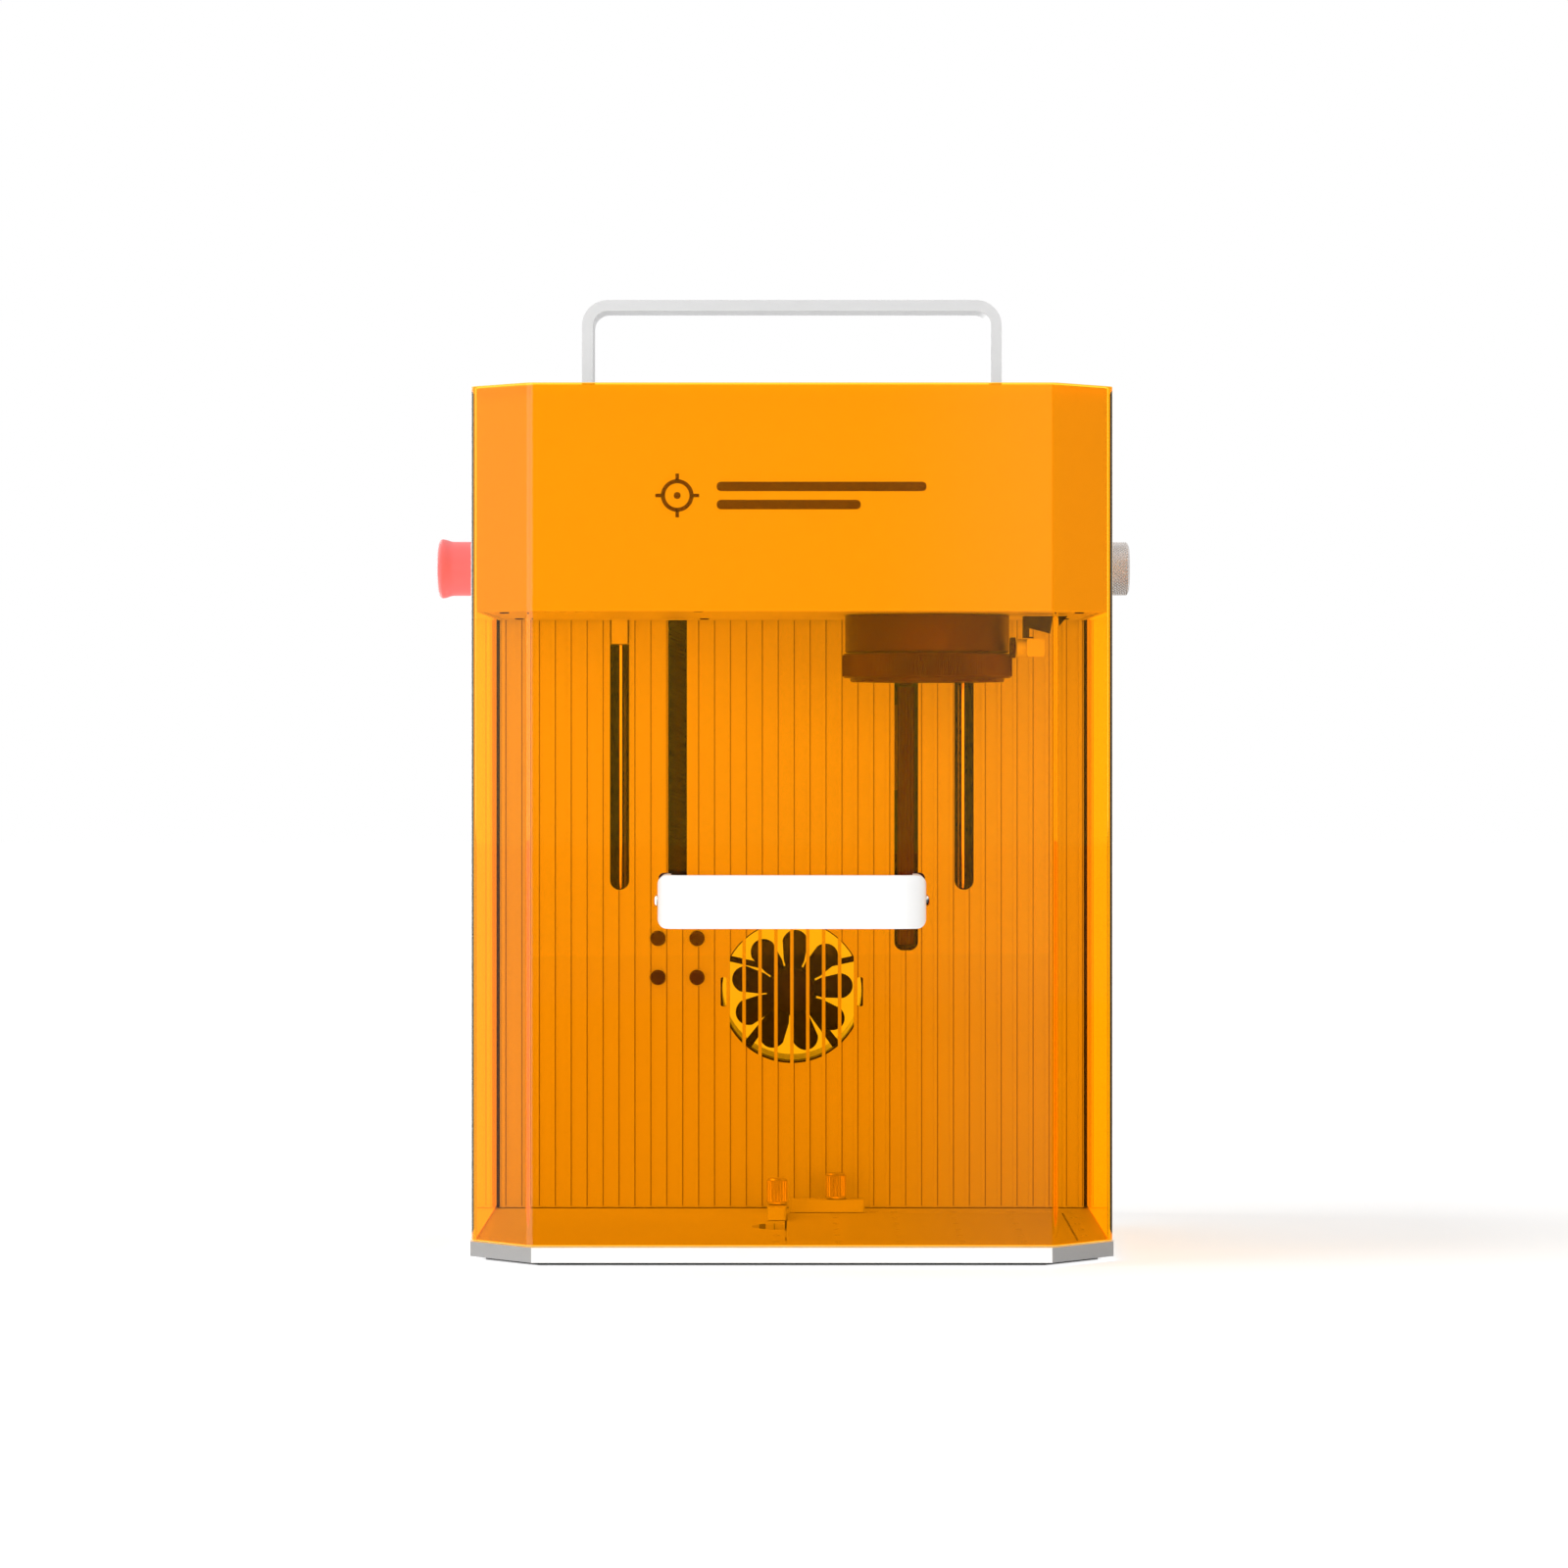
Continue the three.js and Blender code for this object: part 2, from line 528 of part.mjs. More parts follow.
function addTopHandle() {
  const handle = group(engraver, 0, TOP_HANDLE.y, HOUSING.top + GAP);
  const height = TOP_HANDLE.top - HOUSING.top - GAP;
  const strip = bentBar(TOP_HANDLE.width, height, TOP_HANDLE.thickness, TOP_HANDLE.cornerRadius);
  const half = TOP_HANDLE.width / 2;
  const reach = TOP_HANDLE.depth / 2;
  let bar = running(strip, -reach, reach, 6).translate([0, 0, height]);
  for (const sign of [-1, 1]) {
    const foot = span(sign * half, sign * (half - TOP_HANDLE.foot));
    bar = bar.add(box(...foot, -reach, reach, 0, TOP_HANDLE.thickness / 2));
  }
  piece("top_handle", bar, WHITE_PAINT, handle);
}

// ---- Lift: two guide rods, a lead screw with its motor, and their brackets -----------------------------

const at = (body, x, y = 0, z = 0) => body.translate([x, y, z]);

function bracketBar(bottom, height, screwHole) {
  const { halfWidth, front, back, leg } = UPPER_BRACKET;
  const bar = box(-halfWidth, halfWidth, front, back, bottom, bottom + height);
  const legs = [-1, 1].map((sign) => {
    const ends = span(sign * halfWidth, sign * (halfWidth - leg));
    return box(...ends, wallBack + GAP, front + OVER, bottom, bottom + height);
  });
  const across = (radius, x) => at(rod(radius, bottom - OVER, bottom + height + OVER, 16), x, ROD.y);
  return bar
    .add(legs[0])
    .add(legs[1])
    .subtract(across(ROD.radius + RUN, -ROD.x))
    .subtract(across(ROD.radius + RUN, ROD.x))
    .subtract(across(screwHole, SCREW.x));
}

function addLift() {
  const lift = group();
  const rodBottom = LOWER_BRACKET.bottom;
  const rodTop = UPPER_BRACKET.bottom + UPPER_BRACKET.height;
  for (const [side, sign] of [["left", -1], ["right", 1]])
    piece(side + "_guide_rod", at(rod(ROD.radius, rodBottom, rodTop), sign * ROD.x, ROD.y), STEEL, lift);
  piece(
    "upper_bracket",
    bracketBar(UPPER_BRACKET.bottom, UPPER_BRACKET.height, SCREW.radius + RUN),
    ALUMINIUM,
    lift,
  );

  const half = LOWER_BRACKET.width / 2;
  const plateFront = wallBack + GAP;
  const plateBack = plateFront + LOWER_BRACKET.plate;
  const shelfTop = LOWER_BRACKET.bottom + OVER;
  const shelfBottom = LOWER_BRACKET.bottom - LOWER_BRACKET.shelf;
  const motorHole = at(rod(MOTOR.shaftHole, shelfBottom - OVER, shelfTop + OVER), SCREW.x, ROD.y);
  let lower = bracketBar(LOWER_BRACKET.bottom, LOWER_BRACKET.height, MOTOR.shaftHole)
    .add(box(SCREW.x - half, SCREW.x + half, plateFront, plateBack, LOWER_BRACKET.plateBottom, shelfTop))
    .add(box(SCREW.x - half, SCREW.x + half, plateFront, ROD.y + half, shelfBottom, shelfTop))
    .subtract(motorHole);
  const tapped = alongY(rod(WALL_SCREW.shankRadius + GAP, plateFront - OVER, plateBack + OVER, 12));
  for (const [x, z] of wallScrewPlaces()) lower = lower.subtract(at(tapped, x, 0, z));
  piece("lower_bracket", lower, ALUMINIUM, lift);

  const motorTop = shelfBottom - GAP;
  const motorHalf = MOTOR.size / 2;
  const motor = box(
    SCREW.x - motorHalf, SCREW.x + motorHalf,
    plateBack + GAP, plateBack + GAP + MOTOR.size,
    motorTop - MOTOR.length, motorTop,
  );
  piece("lift_motor", motor, BLACK_METAL, lift);
  piece("lead_screw", at(rod(SCREW.radius, shelfBottom, rodTop, 24), SCREW.x, ROD.y), STEEL, lift);

  wallScrewPlaces().forEach(([x, z], i) => {
    const screw = group(lift, x, wallPlane - GAP, z);
    const { headRadius, headHeight, shankRadius, socket } = WALL_SCREW;
    const head = alongY(rod(headRadius, -headHeight, 0, 16)).subtract(
      alongY(rod(socket, -headHeight - OVER, -headHeight / 2, 6)),
    );
    const shank = alongY(rod(shankRadius, -headHeight / 4, plateBack - wallPlane, 12));
    piece("wall_screw_" + (i + 1), head.add(shank), BLACK_METAL, screw);
  });
}

// ---- Fan, duct and electronics -------------------------------------------------------------------------

function fanRotor(depth) {
  const { radius, hubRadius, blades } = FAN;
  const bladeRadius = radius - 2.2;
  const petal = new THREE.Shape()
    .moveTo(hubRadius - 2, -2.4)
    .quadraticCurveTo(hubRadius + 5, -6.2, bladeRadius - 2.5, -5.2)
    .quadraticCurveTo(bladeRadius, -3, bladeRadius - 0.2, 1.5)
    .quadraticCurveTo(bladeRadius - 4, 5, hubRadius + 5, 3.6)
    .lineTo(hubRadius - 2, 2.4);
  const blade = standing(petal, -0.6, 0.6, 4).rotate([28, 0, 0]).translate([0, 0, depth / 2]);
  let rotor = rod(hubRadius, 0, depth);
  for (let i = 0; i < blades; i++) rotor = rotor.add(blade.rotate([0, 0, (360 * i) / blades]));
  return alongY(rotor);
}

function addFan() {
  const front = wallBack + GAP;
  const fan = group(engraver, 0, front, FAN.z);
  const half = FAN.radius + 0.4;
  const bore = FAN.radius - 0.4;
  const rotorClearance = 0.7;
  const strutFront = FAN.depth - FAN.strutDepth;
  const rotorDepth = strutFront - 2 * rotorClearance;
  let frame = running(roundedRectangle(2 * half, 2 * half, 4), 0, FAN.depth).subtract(
    alongY(rod(bore, -OVER, FAN.depth + OVER, 36)),
  );
  const strut = box(-half, half, strutFront, FAN.depth, -FAN.strut / 2, FAN.strut / 2);
  for (const turn of [45, 135]) frame = frame.add(strut.rotate([0, turn, 0]));
  frame = frame.add(alongY(rod(FAN.hubRadius + 0.6, strutFront, FAN.depth)));
  piece("fan_frame", frame, BLACK_PLASTIC, fan);
  piece("fan_rotor", fanRotor(rotorDepth).translate([0, rotorClearance, 0]), BLACK_PLASTIC, fan);

  const ductFront = FAN.depth + GAP;
  const ductBack = coverFront - GAP - front;
  piece("fan_duct", alongY(tube(FAN.radius + 1.2, FAN.radius, ductFront, ductBack)), WHITE_PLASTIC, fan);
}

function addElectronics() {
  let board = box(
    -BOARD.halfWidth, BOARD.halfWidth, BOARD.front, BOARD.front + BOARD.thickness, BOARD.bottom, BOARD.top,
  );
  for (const [left, right, bottom, top, height] of Object.values(BOARD_PARTS))
    board = board.add(box(left, right, BOARD.front - height, BOARD.front + OVER / 2, bottom, top));
  piece("main_board", board, BOARD_GREEN);

  const power = group(engraver, POWER.x, 0, POWER.z);
  const { width, height, depth, flange, flangeRim, jackRadius } = POWER;
  const seat = COVER.back + 0.2;
  const pocketX = ROCKER.x - POWER.x;
  const pocketHalf = ROCKER.width / 2 + GAP;
  const pocketHigh = ROCKER.height / 2 + 1.5;
  const jackX = -(width / 2 - jackRadius - 4.5);
  const plate = roundedRectangle(width + flangeRim * 2, height + flangeRim * 2, 2);
  const socket = running(plate, seat, seat + flange)
    .add(running(roundedRectangle(width, height, 1), seat - depth, seat + flange / 2))
    .subtract(
      box(
        pocketX - pocketHalf, pocketX + pocketHalf,
        seat + flange - ROCKER.pocketDepth, seat + flange + OVER,
        -pocketHigh, pocketHigh,
      ),
    )
    .subtract(alongY(tube(jackRadius, 1, seat - 6, seat + flange + OVER, 24)).translate([jackX, 0, 0]));
  piece("power_socket", socket, BLACK_PLASTIC, power);

  const rocker = group(engraver, ROCKER.x, ROCKER.pivotY, POWER.z);
  rocker.rotation.x = THREE.MathUtils.degToRad(ROCKER.tilt);
  const face = seat + flange - ROCKER.pivotY - 0.9;
  const side = polygon([
    [-3, -ROCKER.height / 2 + 1.5],
    [face, -ROCKER.height / 2],
    [face, ROCKER.height / 2],
    [-3, ROCKER.height / 2 - 1.5],
  ]);
  piece("power_rocker", reaching(side, -ROCKER.width / 2, ROCKER.width / 2), BLACK_PLASTIC, rocker);

  const usb = running(roundedRectangle(USB.width, USB.height, 0.8), COVER.back - USB.depth, COVER.back + 0.8)
    .subtract(running(roundedRectangle(USB.mouthWidth, USB.mouthHeight, 1.5), COVER.back - 6, COVER.back + 2))
    .add(running(roundedRectangle(USB.tongueWidth, USB.tongueHeight, 0.3), COVER.back - 7, COVER.back));
  piece("usb_socket", usb.translate([USB.x, 0, USB.z]), STEEL);
}

// ---- Side controls: emergency stop on the left, height knob on the right -------------------------------

// The controls are turned about Z as if standing up, then laid outwards to the left (-1) or right (+1).
const outwards = (body, sign) => (sign > 0 ? alongX(body) : body.rotate([0, -90, 0]));

function addEmergencyStop() {
  const stop = group(engraver, 0, SIDE_CONTROLS.y, SIDE_CONTROLS.z);
  const { end, inner, rimRadius, neckRadius } = ESTOP;
  const { barrelRadius, barrelEnd, block, blockEnd, stemRadius, stemEnd } = ESTOP_BODY;
  const seat = HOUSING.halfWidth + GAP;
  const bore = stemRadius + RUN;
  const face = seat + ESTOP_COLLAR.thickness;
  const body = rod(ESTOP_COLLAR.radius, seat, face)
    .add(rod(barrelRadius, barrelEnd - OVER, seat + OVER / 2))
    .add(box(-block / 2, block / 2, -block / 2, block / 2, blockEnd, barrelEnd))
    .subtract(rod(bore, stemEnd - 5, face + OVER, 24));
  piece("estop_body", outwards(body, -1), BLACK_PLASTIC, stop);

  const socketEnd = inner + 5;
  const stem = rod(stemRadius, stemEnd, socketEnd - GAP, 24);
  piece("estop_stem", outwards(stem, -1), BLACK_PLASTIC, stop);

  const button = turned([
    [0, inner],
    [neckRadius, inner],
    [neckRadius, end - 6.3],
    [neckRadius + 0.1, end - 5],
    [rimRadius - 0.55, end - 4],
    [rimRadius - 0.1, end - 2.9],
    [rimRadius, end - 2.1],
    [rimRadius - 0.45, end - 1.2],
    [rimRadius - 2.4, end - 0.6],
    [rimRadius - 6, end - 0.1],
    [0, end],
  ]).subtract(rod(bore, inner - OVER, socketEnd, 24));
  piece("estop_button", outwards(button, -1), RED_PLASTIC, stop);
}

function addHeightKnob() {
  const control = group(engraver, 0, SIDE_CONTROLS.y, SIDE_CONTROLS.z);
  const seat = HOUSING.halfWidth - HOUSING.wall - GAP;
  const bore = KNOB.shaftRadius + RUN;
  const half = ENCODER.size / 2;
  const encoder = box(-half, half, -half, half, ENCODER.inner, seat)
    .add(rod(ENCODER.bushRadius, seat - OVER, ENCODER.bushEnd))
    .subtract(rod(bore, ENCODER.inner + 3, ENCODER.bushEnd + OVER, 24));
  piece("encoder_body", outwards(encoder, 1), ALUMINIUM, control);

  const recess = ENCODER.bushEnd + 1;
  const knob = turned([
    [0, KNOB.inner],
    [KNOB.radius, KNOB.inner],
    [KNOB.radius, KNOB.knurlEnd],
    [KNOB.radius - 1.4, KNOB.end - 0.2],
    [0, KNOB.end],
  ])
    .subtract(rod(ENCODER.bushRadius + 2 * RUN, KNOB.inner - OVER, recess))
    .add(rod(KNOB.shaftRadius, ENCODER.inner + 4, recess + OVER, 24));
  piece("height_knob", outwards(knob, 1), STEEL, control);
}

// ---- Laser head: shell, floor, carriages, laser, galvanometers, lens and pointer -----------------------

function addHeadCase(head) {
  const inside = inset(headPlan, HEAD.wall);
  const cableHole = box(
    CABLE.x - CLAMP.width / 2 - GAP, CABLE.x + CLAMP.width / 2 + GAP,
    HEAD.back - HEAD.wall - OVER, HEAD.back + OVER,
    CLAMP.top - 12, CLAMP.top - 2,
  );
  const shell = standing(polygon(chamferedPlan(headPlan)), HEAD.bottom, HEAD.top)
    .subtract(standing(polygon(chamferedPlan(inside)), HEAD.bottom - OVER, HEAD.top - HEAD.wall))
    .subtract(cableHole);
  piece("head_shell", shell, WHITE_PLASTIC, head);

  const floorBottom = HEAD.bottom + HEAD.floorRecess;
  const floorTop = floorBottom + HEAD.floor;
  let floor = standing(polygon(chamferedPlan(inset(inside, GAP))), floorBottom, floorTop).subtract(
    at(rod(RING_LIP.bore, floorBottom - OVER, floorTop + OVER, 36), FIELD.x, FIELD.y),
  );
  for (let i = 0; i < HEAD_VENT.count; i++) {
    const x = HEAD_VENT.x + i * HEAD_VENT.pitch;
    const vent = roundedRectangle(HEAD_VENT.width, HEAD_VENT.length, 1, x, HEAD_VENT.y);
    floor = floor.subtract(standing(vent, floorBottom - OVER, floorTop + OVER));
  }
  piece("head_floor", floor, WHITE_PLASTIC, head);
}

function addCarriages(head) {
  const tongueFront = HEAD.back + GAP;
  for (const [side, sign] of [["left", -1], ["right", 1]]) {
    const x = sign * ROD.x;
    const { tongue, bottom, top, blockWidth, blockDepth } = CARRIAGE;
    const front = ROD.y - blockDepth / 2;
    const carriage = box(x - tongue / 2, x + tongue / 2, tongueFront, front + OVER, bottom, top)
      .add(box(x - blockWidth / 2, x + blockWidth / 2, front, front + blockDepth, bottom, top))
      .subtract(at(rod(ROD.radius + RUN, bottom - OVER, top + OVER), x, ROD.y));
    piece(side + "_carriage", carriage, WHITE_PLASTIC, head);
  }
  const { tongue, bottom, top, blockWidth, blockDepth } = NUT;
  const front = ROD.y - blockDepth / 2;
  const nut = box(SCREW.x - tongue / 2, SCREW.x + tongue / 2, tongueFront, front + OVER, bottom, top)
    .add(box(SCREW.x - blockWidth / 2, SCREW.x + blockWidth / 2, front, front + blockDepth, bottom, top))
    .subtract(at(rod(SCREW.radius + RUN, bottom - OVER, top + OVER), SCREW.x, ROD.y));
  piece("lift_nut", nut, BRASS, head);

  const clampHalf = CLAMP.width / 2;
  const clamp = box(
    CABLE.x - clampHalf, CABLE.x + clampHalf, tongueFront, CLAMP.back, CLAMP.bottom, CLAMP.top,
  );
  piece("cable_clamp", clamp, BLACK_PLASTIC, head);
  const cable = box(
    CABLE.x - CABLE.width / 2, CABLE.x + CABLE.width / 2,
    CABLE.front, CABLE.front + CABLE.thickness,
    CABLE_SLOT.bottom + 1.5 + GAP, CLAMP.bottom - GAP,
  );
  piece("head_cable", cable, BLACK_PLASTIC, head);
}

function addLaser(head) {
  const blockLeft = FIELD.x - GALVO_BLOCK.halfX;
  const right = blockLeft - GAP - LASER.snout;
  const left = LASER.endGap + HEAD.wall - headPlan.halfWidth;
  const beamY = FIELD.y + GALVO.mirrorGap;
  const [front, back] = [beamY - LASER.width / 2, beamY + LASER.width / 2];
  let laser = box(left, right, front, back, LASER.z, LASER.z + LASER.height).add(
    alongX(rod(LASER.beam, right - OVER, right + LASER.snout)).translate([0, beamY, GALVO.z]),
  );
  const pitch = LASER.width / (2 * LASER.fins - 1);
  for (let i = 0; i < LASER.fins - 1; i++) {
    const y = front + (2 * i + 1) * pitch;
    const top = LASER.z + LASER.height;
    laser = laser.subtract(box(left - OVER, right + OVER, y, y + pitch, top - LASER.finHeight, top + OVER));
  }
  piece("laser_module", laser, BLACK_METAL, head);
}

function addGalvos(head) {
  const galvo = group(head, FIELD.x, FIELD.y, GALVO.z);
  const floorTop = HEAD.bottom + HEAD.floorRecess + HEAD.floor;
  const { halfX, front, back, wall } = GALVO_BLOCK;
  const bottom = floorTop + GAP - GALVO.z;
  const top = GALVO_BLOCK.top - GALVO.z;
  const shaftHole = GALVO_SHAFT.radius + 1.5;
  const block = box(-halfX, halfX, front, back, bottom, top)
    .subtract(box(wall - halfX, halfX - wall, front + wall, back - wall, bottom - OVER, top - wall))
    .subtract(alongX(rod(LASER.beam, -halfX - OVER, 0)).translate([0, GALVO.mirrorGap, 0]))
    .subtract(alongX(rod(shaftHole, 0, halfX + OVER, 24)))
    .subtract(rod(shaftHole, 0, top + OVER, 24).translate([0, GALVO.mirrorGap, 0]));
  piece("galvo_block", block, BLACK_METAL, galvo);

  // Each galvanometer stands along its own Z axis: the motor beyond the block's face, the mirror at 0.
  const { mirror, mirrorThickness, motorRadius, motorLength } = GALVO;
  const motor = (face) =>
    rod(motorRadius, face + GAP, face + GAP + motorLength).subtract(
      rod(GALVO_SHAFT.radius + RUN, face, face + GAP + GALVO_SHAFT.depth + OVER, 16),
    );
  const mirrorOnShaft = (face) =>
    box(-mirror / 2, mirror / 2, -mirrorThickness / 2, mirrorThickness / 2, -mirror / 2, mirror / 2).add(
      rod(GALVO_SHAFT.radius, mirror / 2 - OVER, face + GALVO_SHAFT.depth, 16),
    );
  const upright = group(galvo, 0, GALVO.mirrorGap, 0);
  piece("galvo_motor_x", motor(top), BLACK_METAL, upright);
  piece("galvo_mirror_x", mirrorOnShaft(top).rotate([0, 0, -45]), MIRROR, upright);
  const sideways = group(galvo);
  piece("galvo_motor_y", alongX(motor(halfX)), BLACK_METAL, sideways);
  piece("galvo_mirror_y", alongX(mirrorOnShaft(halfX)).rotate([-45, 0, 0]), MIRROR, sideways);
}

function addLens(head) {
  const lens = group(head, FIELD.x, FIELD.y, 0);
  const floorBottom = HEAD.bottom + HEAD.floorRecess;
  piece("lens_barrel", tube(BARREL.radius, BARREL.bore, BARREL.bottom, floorBottom - GAP), BLACK_METAL, lens);
  const ledge = RING.bottom + 1;
  const ring = rod(RING.radius, RING.bottom, RING.top, 36)
    .add(rod(RING_LIP.radius, RING_LIP.bottom, RING.bottom + OVER, 36))
    .subtract(rod(RING.bore, ledge, RING.top + OVER, 32))
    .subtract(rod(RING_LIP.bore, RING_LIP.bottom - OVER, ledge + OVER, 32));
  piece("lens_ring", ring, BLACK_METAL, lens);
  const seat = ledge + GAP;
  const glass = turned([
    [0, seat],
    [LENS.radius, seat],
    [LENS.radius, seat + LENS.edge],
    [LENS.radius * 0.72, seat + LENS.edge + LENS.crown * 0.5],
    [LENS.radius * 0.4, seat + LENS.edge + LENS.crown * 0.85],
    [0, seat + LENS.edge + LENS.crown],
  ]);
  piece("field_lens", glass, GLASS, lens);
}

function addPointer(head) {
  const top = HEAD.bottom - GAP;
  const left = POINTER.left;
  const [front, back] = [POINTER.y - POINTER.depth / 2, POINTER.y + POINTER.depth / 2];
  const half = POINTER.size / 2;
  const blockTop = POINTER.z + half;
  const lamp = polygon([
    [left - 1.1, blockTop + GAP],
    [left + 2.2, blockTop + GAP],
    [left + 2.2, blockTop + 2 * GAP],
    [left + 0.8, blockTop + 2 * GAP],
    [left + 0.8, top - 3.8],
    [left + 8, top - 5.7],
    [left + 12.9, top],
    [left - 1.1, top],
  ]);
  piece("pointer_bracket", running(lamp, front, back), BLACK_PLASTIC, head);
  const square = roundedRectangle(POINTER.size, POINTER.size, 0.6, left + half, POINTER.z);
  const neck = alongX(rod(POINTER.neckRadius, left - 3.3, left + half)).translate([0, POINTER.y, POINTER.z]);
  piece("pointer_block", running(square, front, back).add(neck), WHITE_PLASTIC, head);
  const cap = alongX(rod(POINTER.capRadius, left - 5.5, left - 3.3 - GAP, 24));
  piece("pointer_cap", cap.translate([0, POINTER.y, POINTER.z]), BLACK_METAL, head);
}

// ---- Door: tinted acrylic shell with its pull handle ---------------------------------------------------

function addDoor() {
  const door = group();
  const within = { ...inset(DOOR, DOOR.thickness), back: DOOR.back };
  const shell = polygon([...chamferedPlan(DOOR), ...chamferedPlan(within).reverse()]);
  piece("door_shell", standing(shell, DOOR.bottom, DOOR.top), ACRYLIC, door);

  const pull = group(door, 0, DOOR.front - DOOR_HANDLE.reach, DOOR_HANDLE.z);
  const { width, height, reach, thickness, cornerRadius } = DOOR_HANDLE;
  const { padHeight, padThickness, bossWidth, bossHeight, bossDepth } = DOOR_POST;
  const padBack = reach - GAP;
  const padFront = padBack - padThickness;
  const screwY = padFront - bossDepth / 2;
  const screwHole = alongX(rod(SIDE_SCREW.shankRadius + GAP, -width, width, 16)).translate([0, screwY, 0]);
  const bar = standing(bentBar(width, padFront - GAP, thickness, cornerRadius), -height / 2, height / 2, 6)
    .rotate([0, 0, 180])
    .subtract(screwHole);
  piece("door_handle", bar, WHITE_PLASTIC, pull);
  for (const [side, sign] of [["left", -1], ["right", 1]]) {
    const legInside = sign * (width / 2 - thickness - GAP);
    const bossInside = legInside - sign * bossWidth;
    const legMiddle = sign * (width / 2 - thickness / 2);
    const bossFront = padFront - bossDepth;
    const post = running(roundedRectangle(thickness, padHeight, 1.6, legMiddle), padFront, padBack)
      .add(box(...span(legMiddle, bossInside), padFront, padBack, -bossHeight / 2, bossHeight / 2))
      .add(box(...span(legInside, bossInside), bossFront, padBack, -bossHeight / 2, bossHeight / 2))
      .subtract(screwHole);
    piece("door_handle_post_" + side, post, BLACK_PLASTIC, pull);
    const outer = width / 2 + GAP;
    const screw = turned(
      [
        [0, outer - thickness - bossWidth],
        [SIDE_SCREW.shankRadius, outer - thickness - bossWidth],
        [SIDE_SCREW.shankRadius, outer],
        [SIDE_SCREW.headRadius, outer],
        [SIDE_SCREW.headRadius * 0.8, outer + SIDE_SCREW.headHeight * 0.65],
        [0, outer + SIDE_SCREW.headHeight],
      ],
      20,
    );
    piece("door_handle_screw_" + side, outwards(screw, sign).translate([0, screwY, 0]), STEEL, pull);
  }
}

// ---- Assembly ------------------------------------------------------------------------------------------

addBase();
addFences();
addHousing();
addRibbedWall();
addRearCover();
addTopHandle();
addLift();
addFan();
addElectronics();
addEmergencyStop();
addHeightKnob();

const head = group();
addHeadCase(head);
addCarriages(head);
addLaser(head);
addGalvos(head);
addLens(head);
addPointer(head);
addDoor();

export default engraver;
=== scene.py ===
# %% [markdown]
# # A desktop laser engraver with a tinted sliding door
#
# The machine is a white octagonal base, an orange acrylic door that slides up round a laser head, and a
# sheet-metal housing at the back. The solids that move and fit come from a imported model, which stays as
# it is. This lesson makes their surfaces: rounded sheet edges, fluted and knurled rings, a threaded
# screw, perforations, and finishes that react to light as paint, acrylic and metal do.

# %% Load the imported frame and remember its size
import json
import math

import bmesh
import bpy
from mathutils import Matrix, Vector
from mathutils.geometry import tessellate_polygon


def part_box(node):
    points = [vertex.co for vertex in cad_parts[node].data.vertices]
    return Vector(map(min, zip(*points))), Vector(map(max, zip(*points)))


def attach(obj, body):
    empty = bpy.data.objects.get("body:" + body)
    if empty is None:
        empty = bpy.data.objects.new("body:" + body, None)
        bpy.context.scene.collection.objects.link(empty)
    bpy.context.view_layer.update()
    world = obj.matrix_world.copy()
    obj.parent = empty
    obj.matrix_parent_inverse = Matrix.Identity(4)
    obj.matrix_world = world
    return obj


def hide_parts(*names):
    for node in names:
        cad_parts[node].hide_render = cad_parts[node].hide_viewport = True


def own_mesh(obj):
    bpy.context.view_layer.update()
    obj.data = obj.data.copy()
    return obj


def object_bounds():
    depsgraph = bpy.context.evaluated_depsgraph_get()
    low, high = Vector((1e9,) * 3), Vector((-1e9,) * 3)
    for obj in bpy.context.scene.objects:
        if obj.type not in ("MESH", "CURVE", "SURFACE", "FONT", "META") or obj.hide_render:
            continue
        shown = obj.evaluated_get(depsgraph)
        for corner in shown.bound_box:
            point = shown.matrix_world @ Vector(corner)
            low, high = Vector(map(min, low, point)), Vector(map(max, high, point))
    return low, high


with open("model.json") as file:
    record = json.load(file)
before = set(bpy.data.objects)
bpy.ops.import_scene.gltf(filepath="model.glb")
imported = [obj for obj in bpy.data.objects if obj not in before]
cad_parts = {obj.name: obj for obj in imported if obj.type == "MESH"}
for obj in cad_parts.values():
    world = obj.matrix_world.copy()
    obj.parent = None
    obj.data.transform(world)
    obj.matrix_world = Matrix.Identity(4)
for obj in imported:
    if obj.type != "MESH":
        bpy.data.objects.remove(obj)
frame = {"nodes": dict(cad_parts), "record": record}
cad_box = [list(corner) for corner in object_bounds()]
MM = 0.001

# %% [markdown]
# ## Camera
#
# A product portrait is taken from far away with a long lens, so that upright edges stay upright and the
# sides hardly show. The camera is level, a little above the middle of the machine. Instead of tilting it,
# the picture is shifted, as on a view camera, which keeps the verticals parallel.

# %% Camera
scene = bpy.context.scene
CAMERA_PLACE = Vector((0.0, -1.709, 0.1711))
LENS_MM = 116.4

lens = bpy.data.cameras.new("portrait_lens")
lens.lens = LENS_MM
lens.sensor_width = 36.0
lens.shift_x = -0.005
lens.shift_y = -0.0344
lens.clip_end = 50.0
camera = bpy.data.objects.new("camera", lens)
camera.location = CAMERA_PLACE
camera.rotation_euler = (math.radians(90), 0, 0)
scene.collection.objects.link(camera)
scene.camera = camera
scene.view_settings.view_transform = "Standard"
scene.view_settings.look = "None"
print("camera", round(CAMERA_PLACE.length, 3), "m away")

# %% [markdown]
# ## Node trees in code
#
# Materials, the world and geometry nodes are all graphs. Two small helpers keep the code readable: one
# adds a node and sets its properties and plain inputs, the other joins two sockets.


# %% Helpers for node trees
def add(tree, kind, inputs=None, **properties):
    made = tree.nodes.new(kind)
    for name, value in properties.items():
        setattr(made, name, value)
    for key, value in (inputs or {}).items():
        made.inputs[key].default_value = value
    return made


def join(tree, source, target):
    return tree.links.new(source, target)


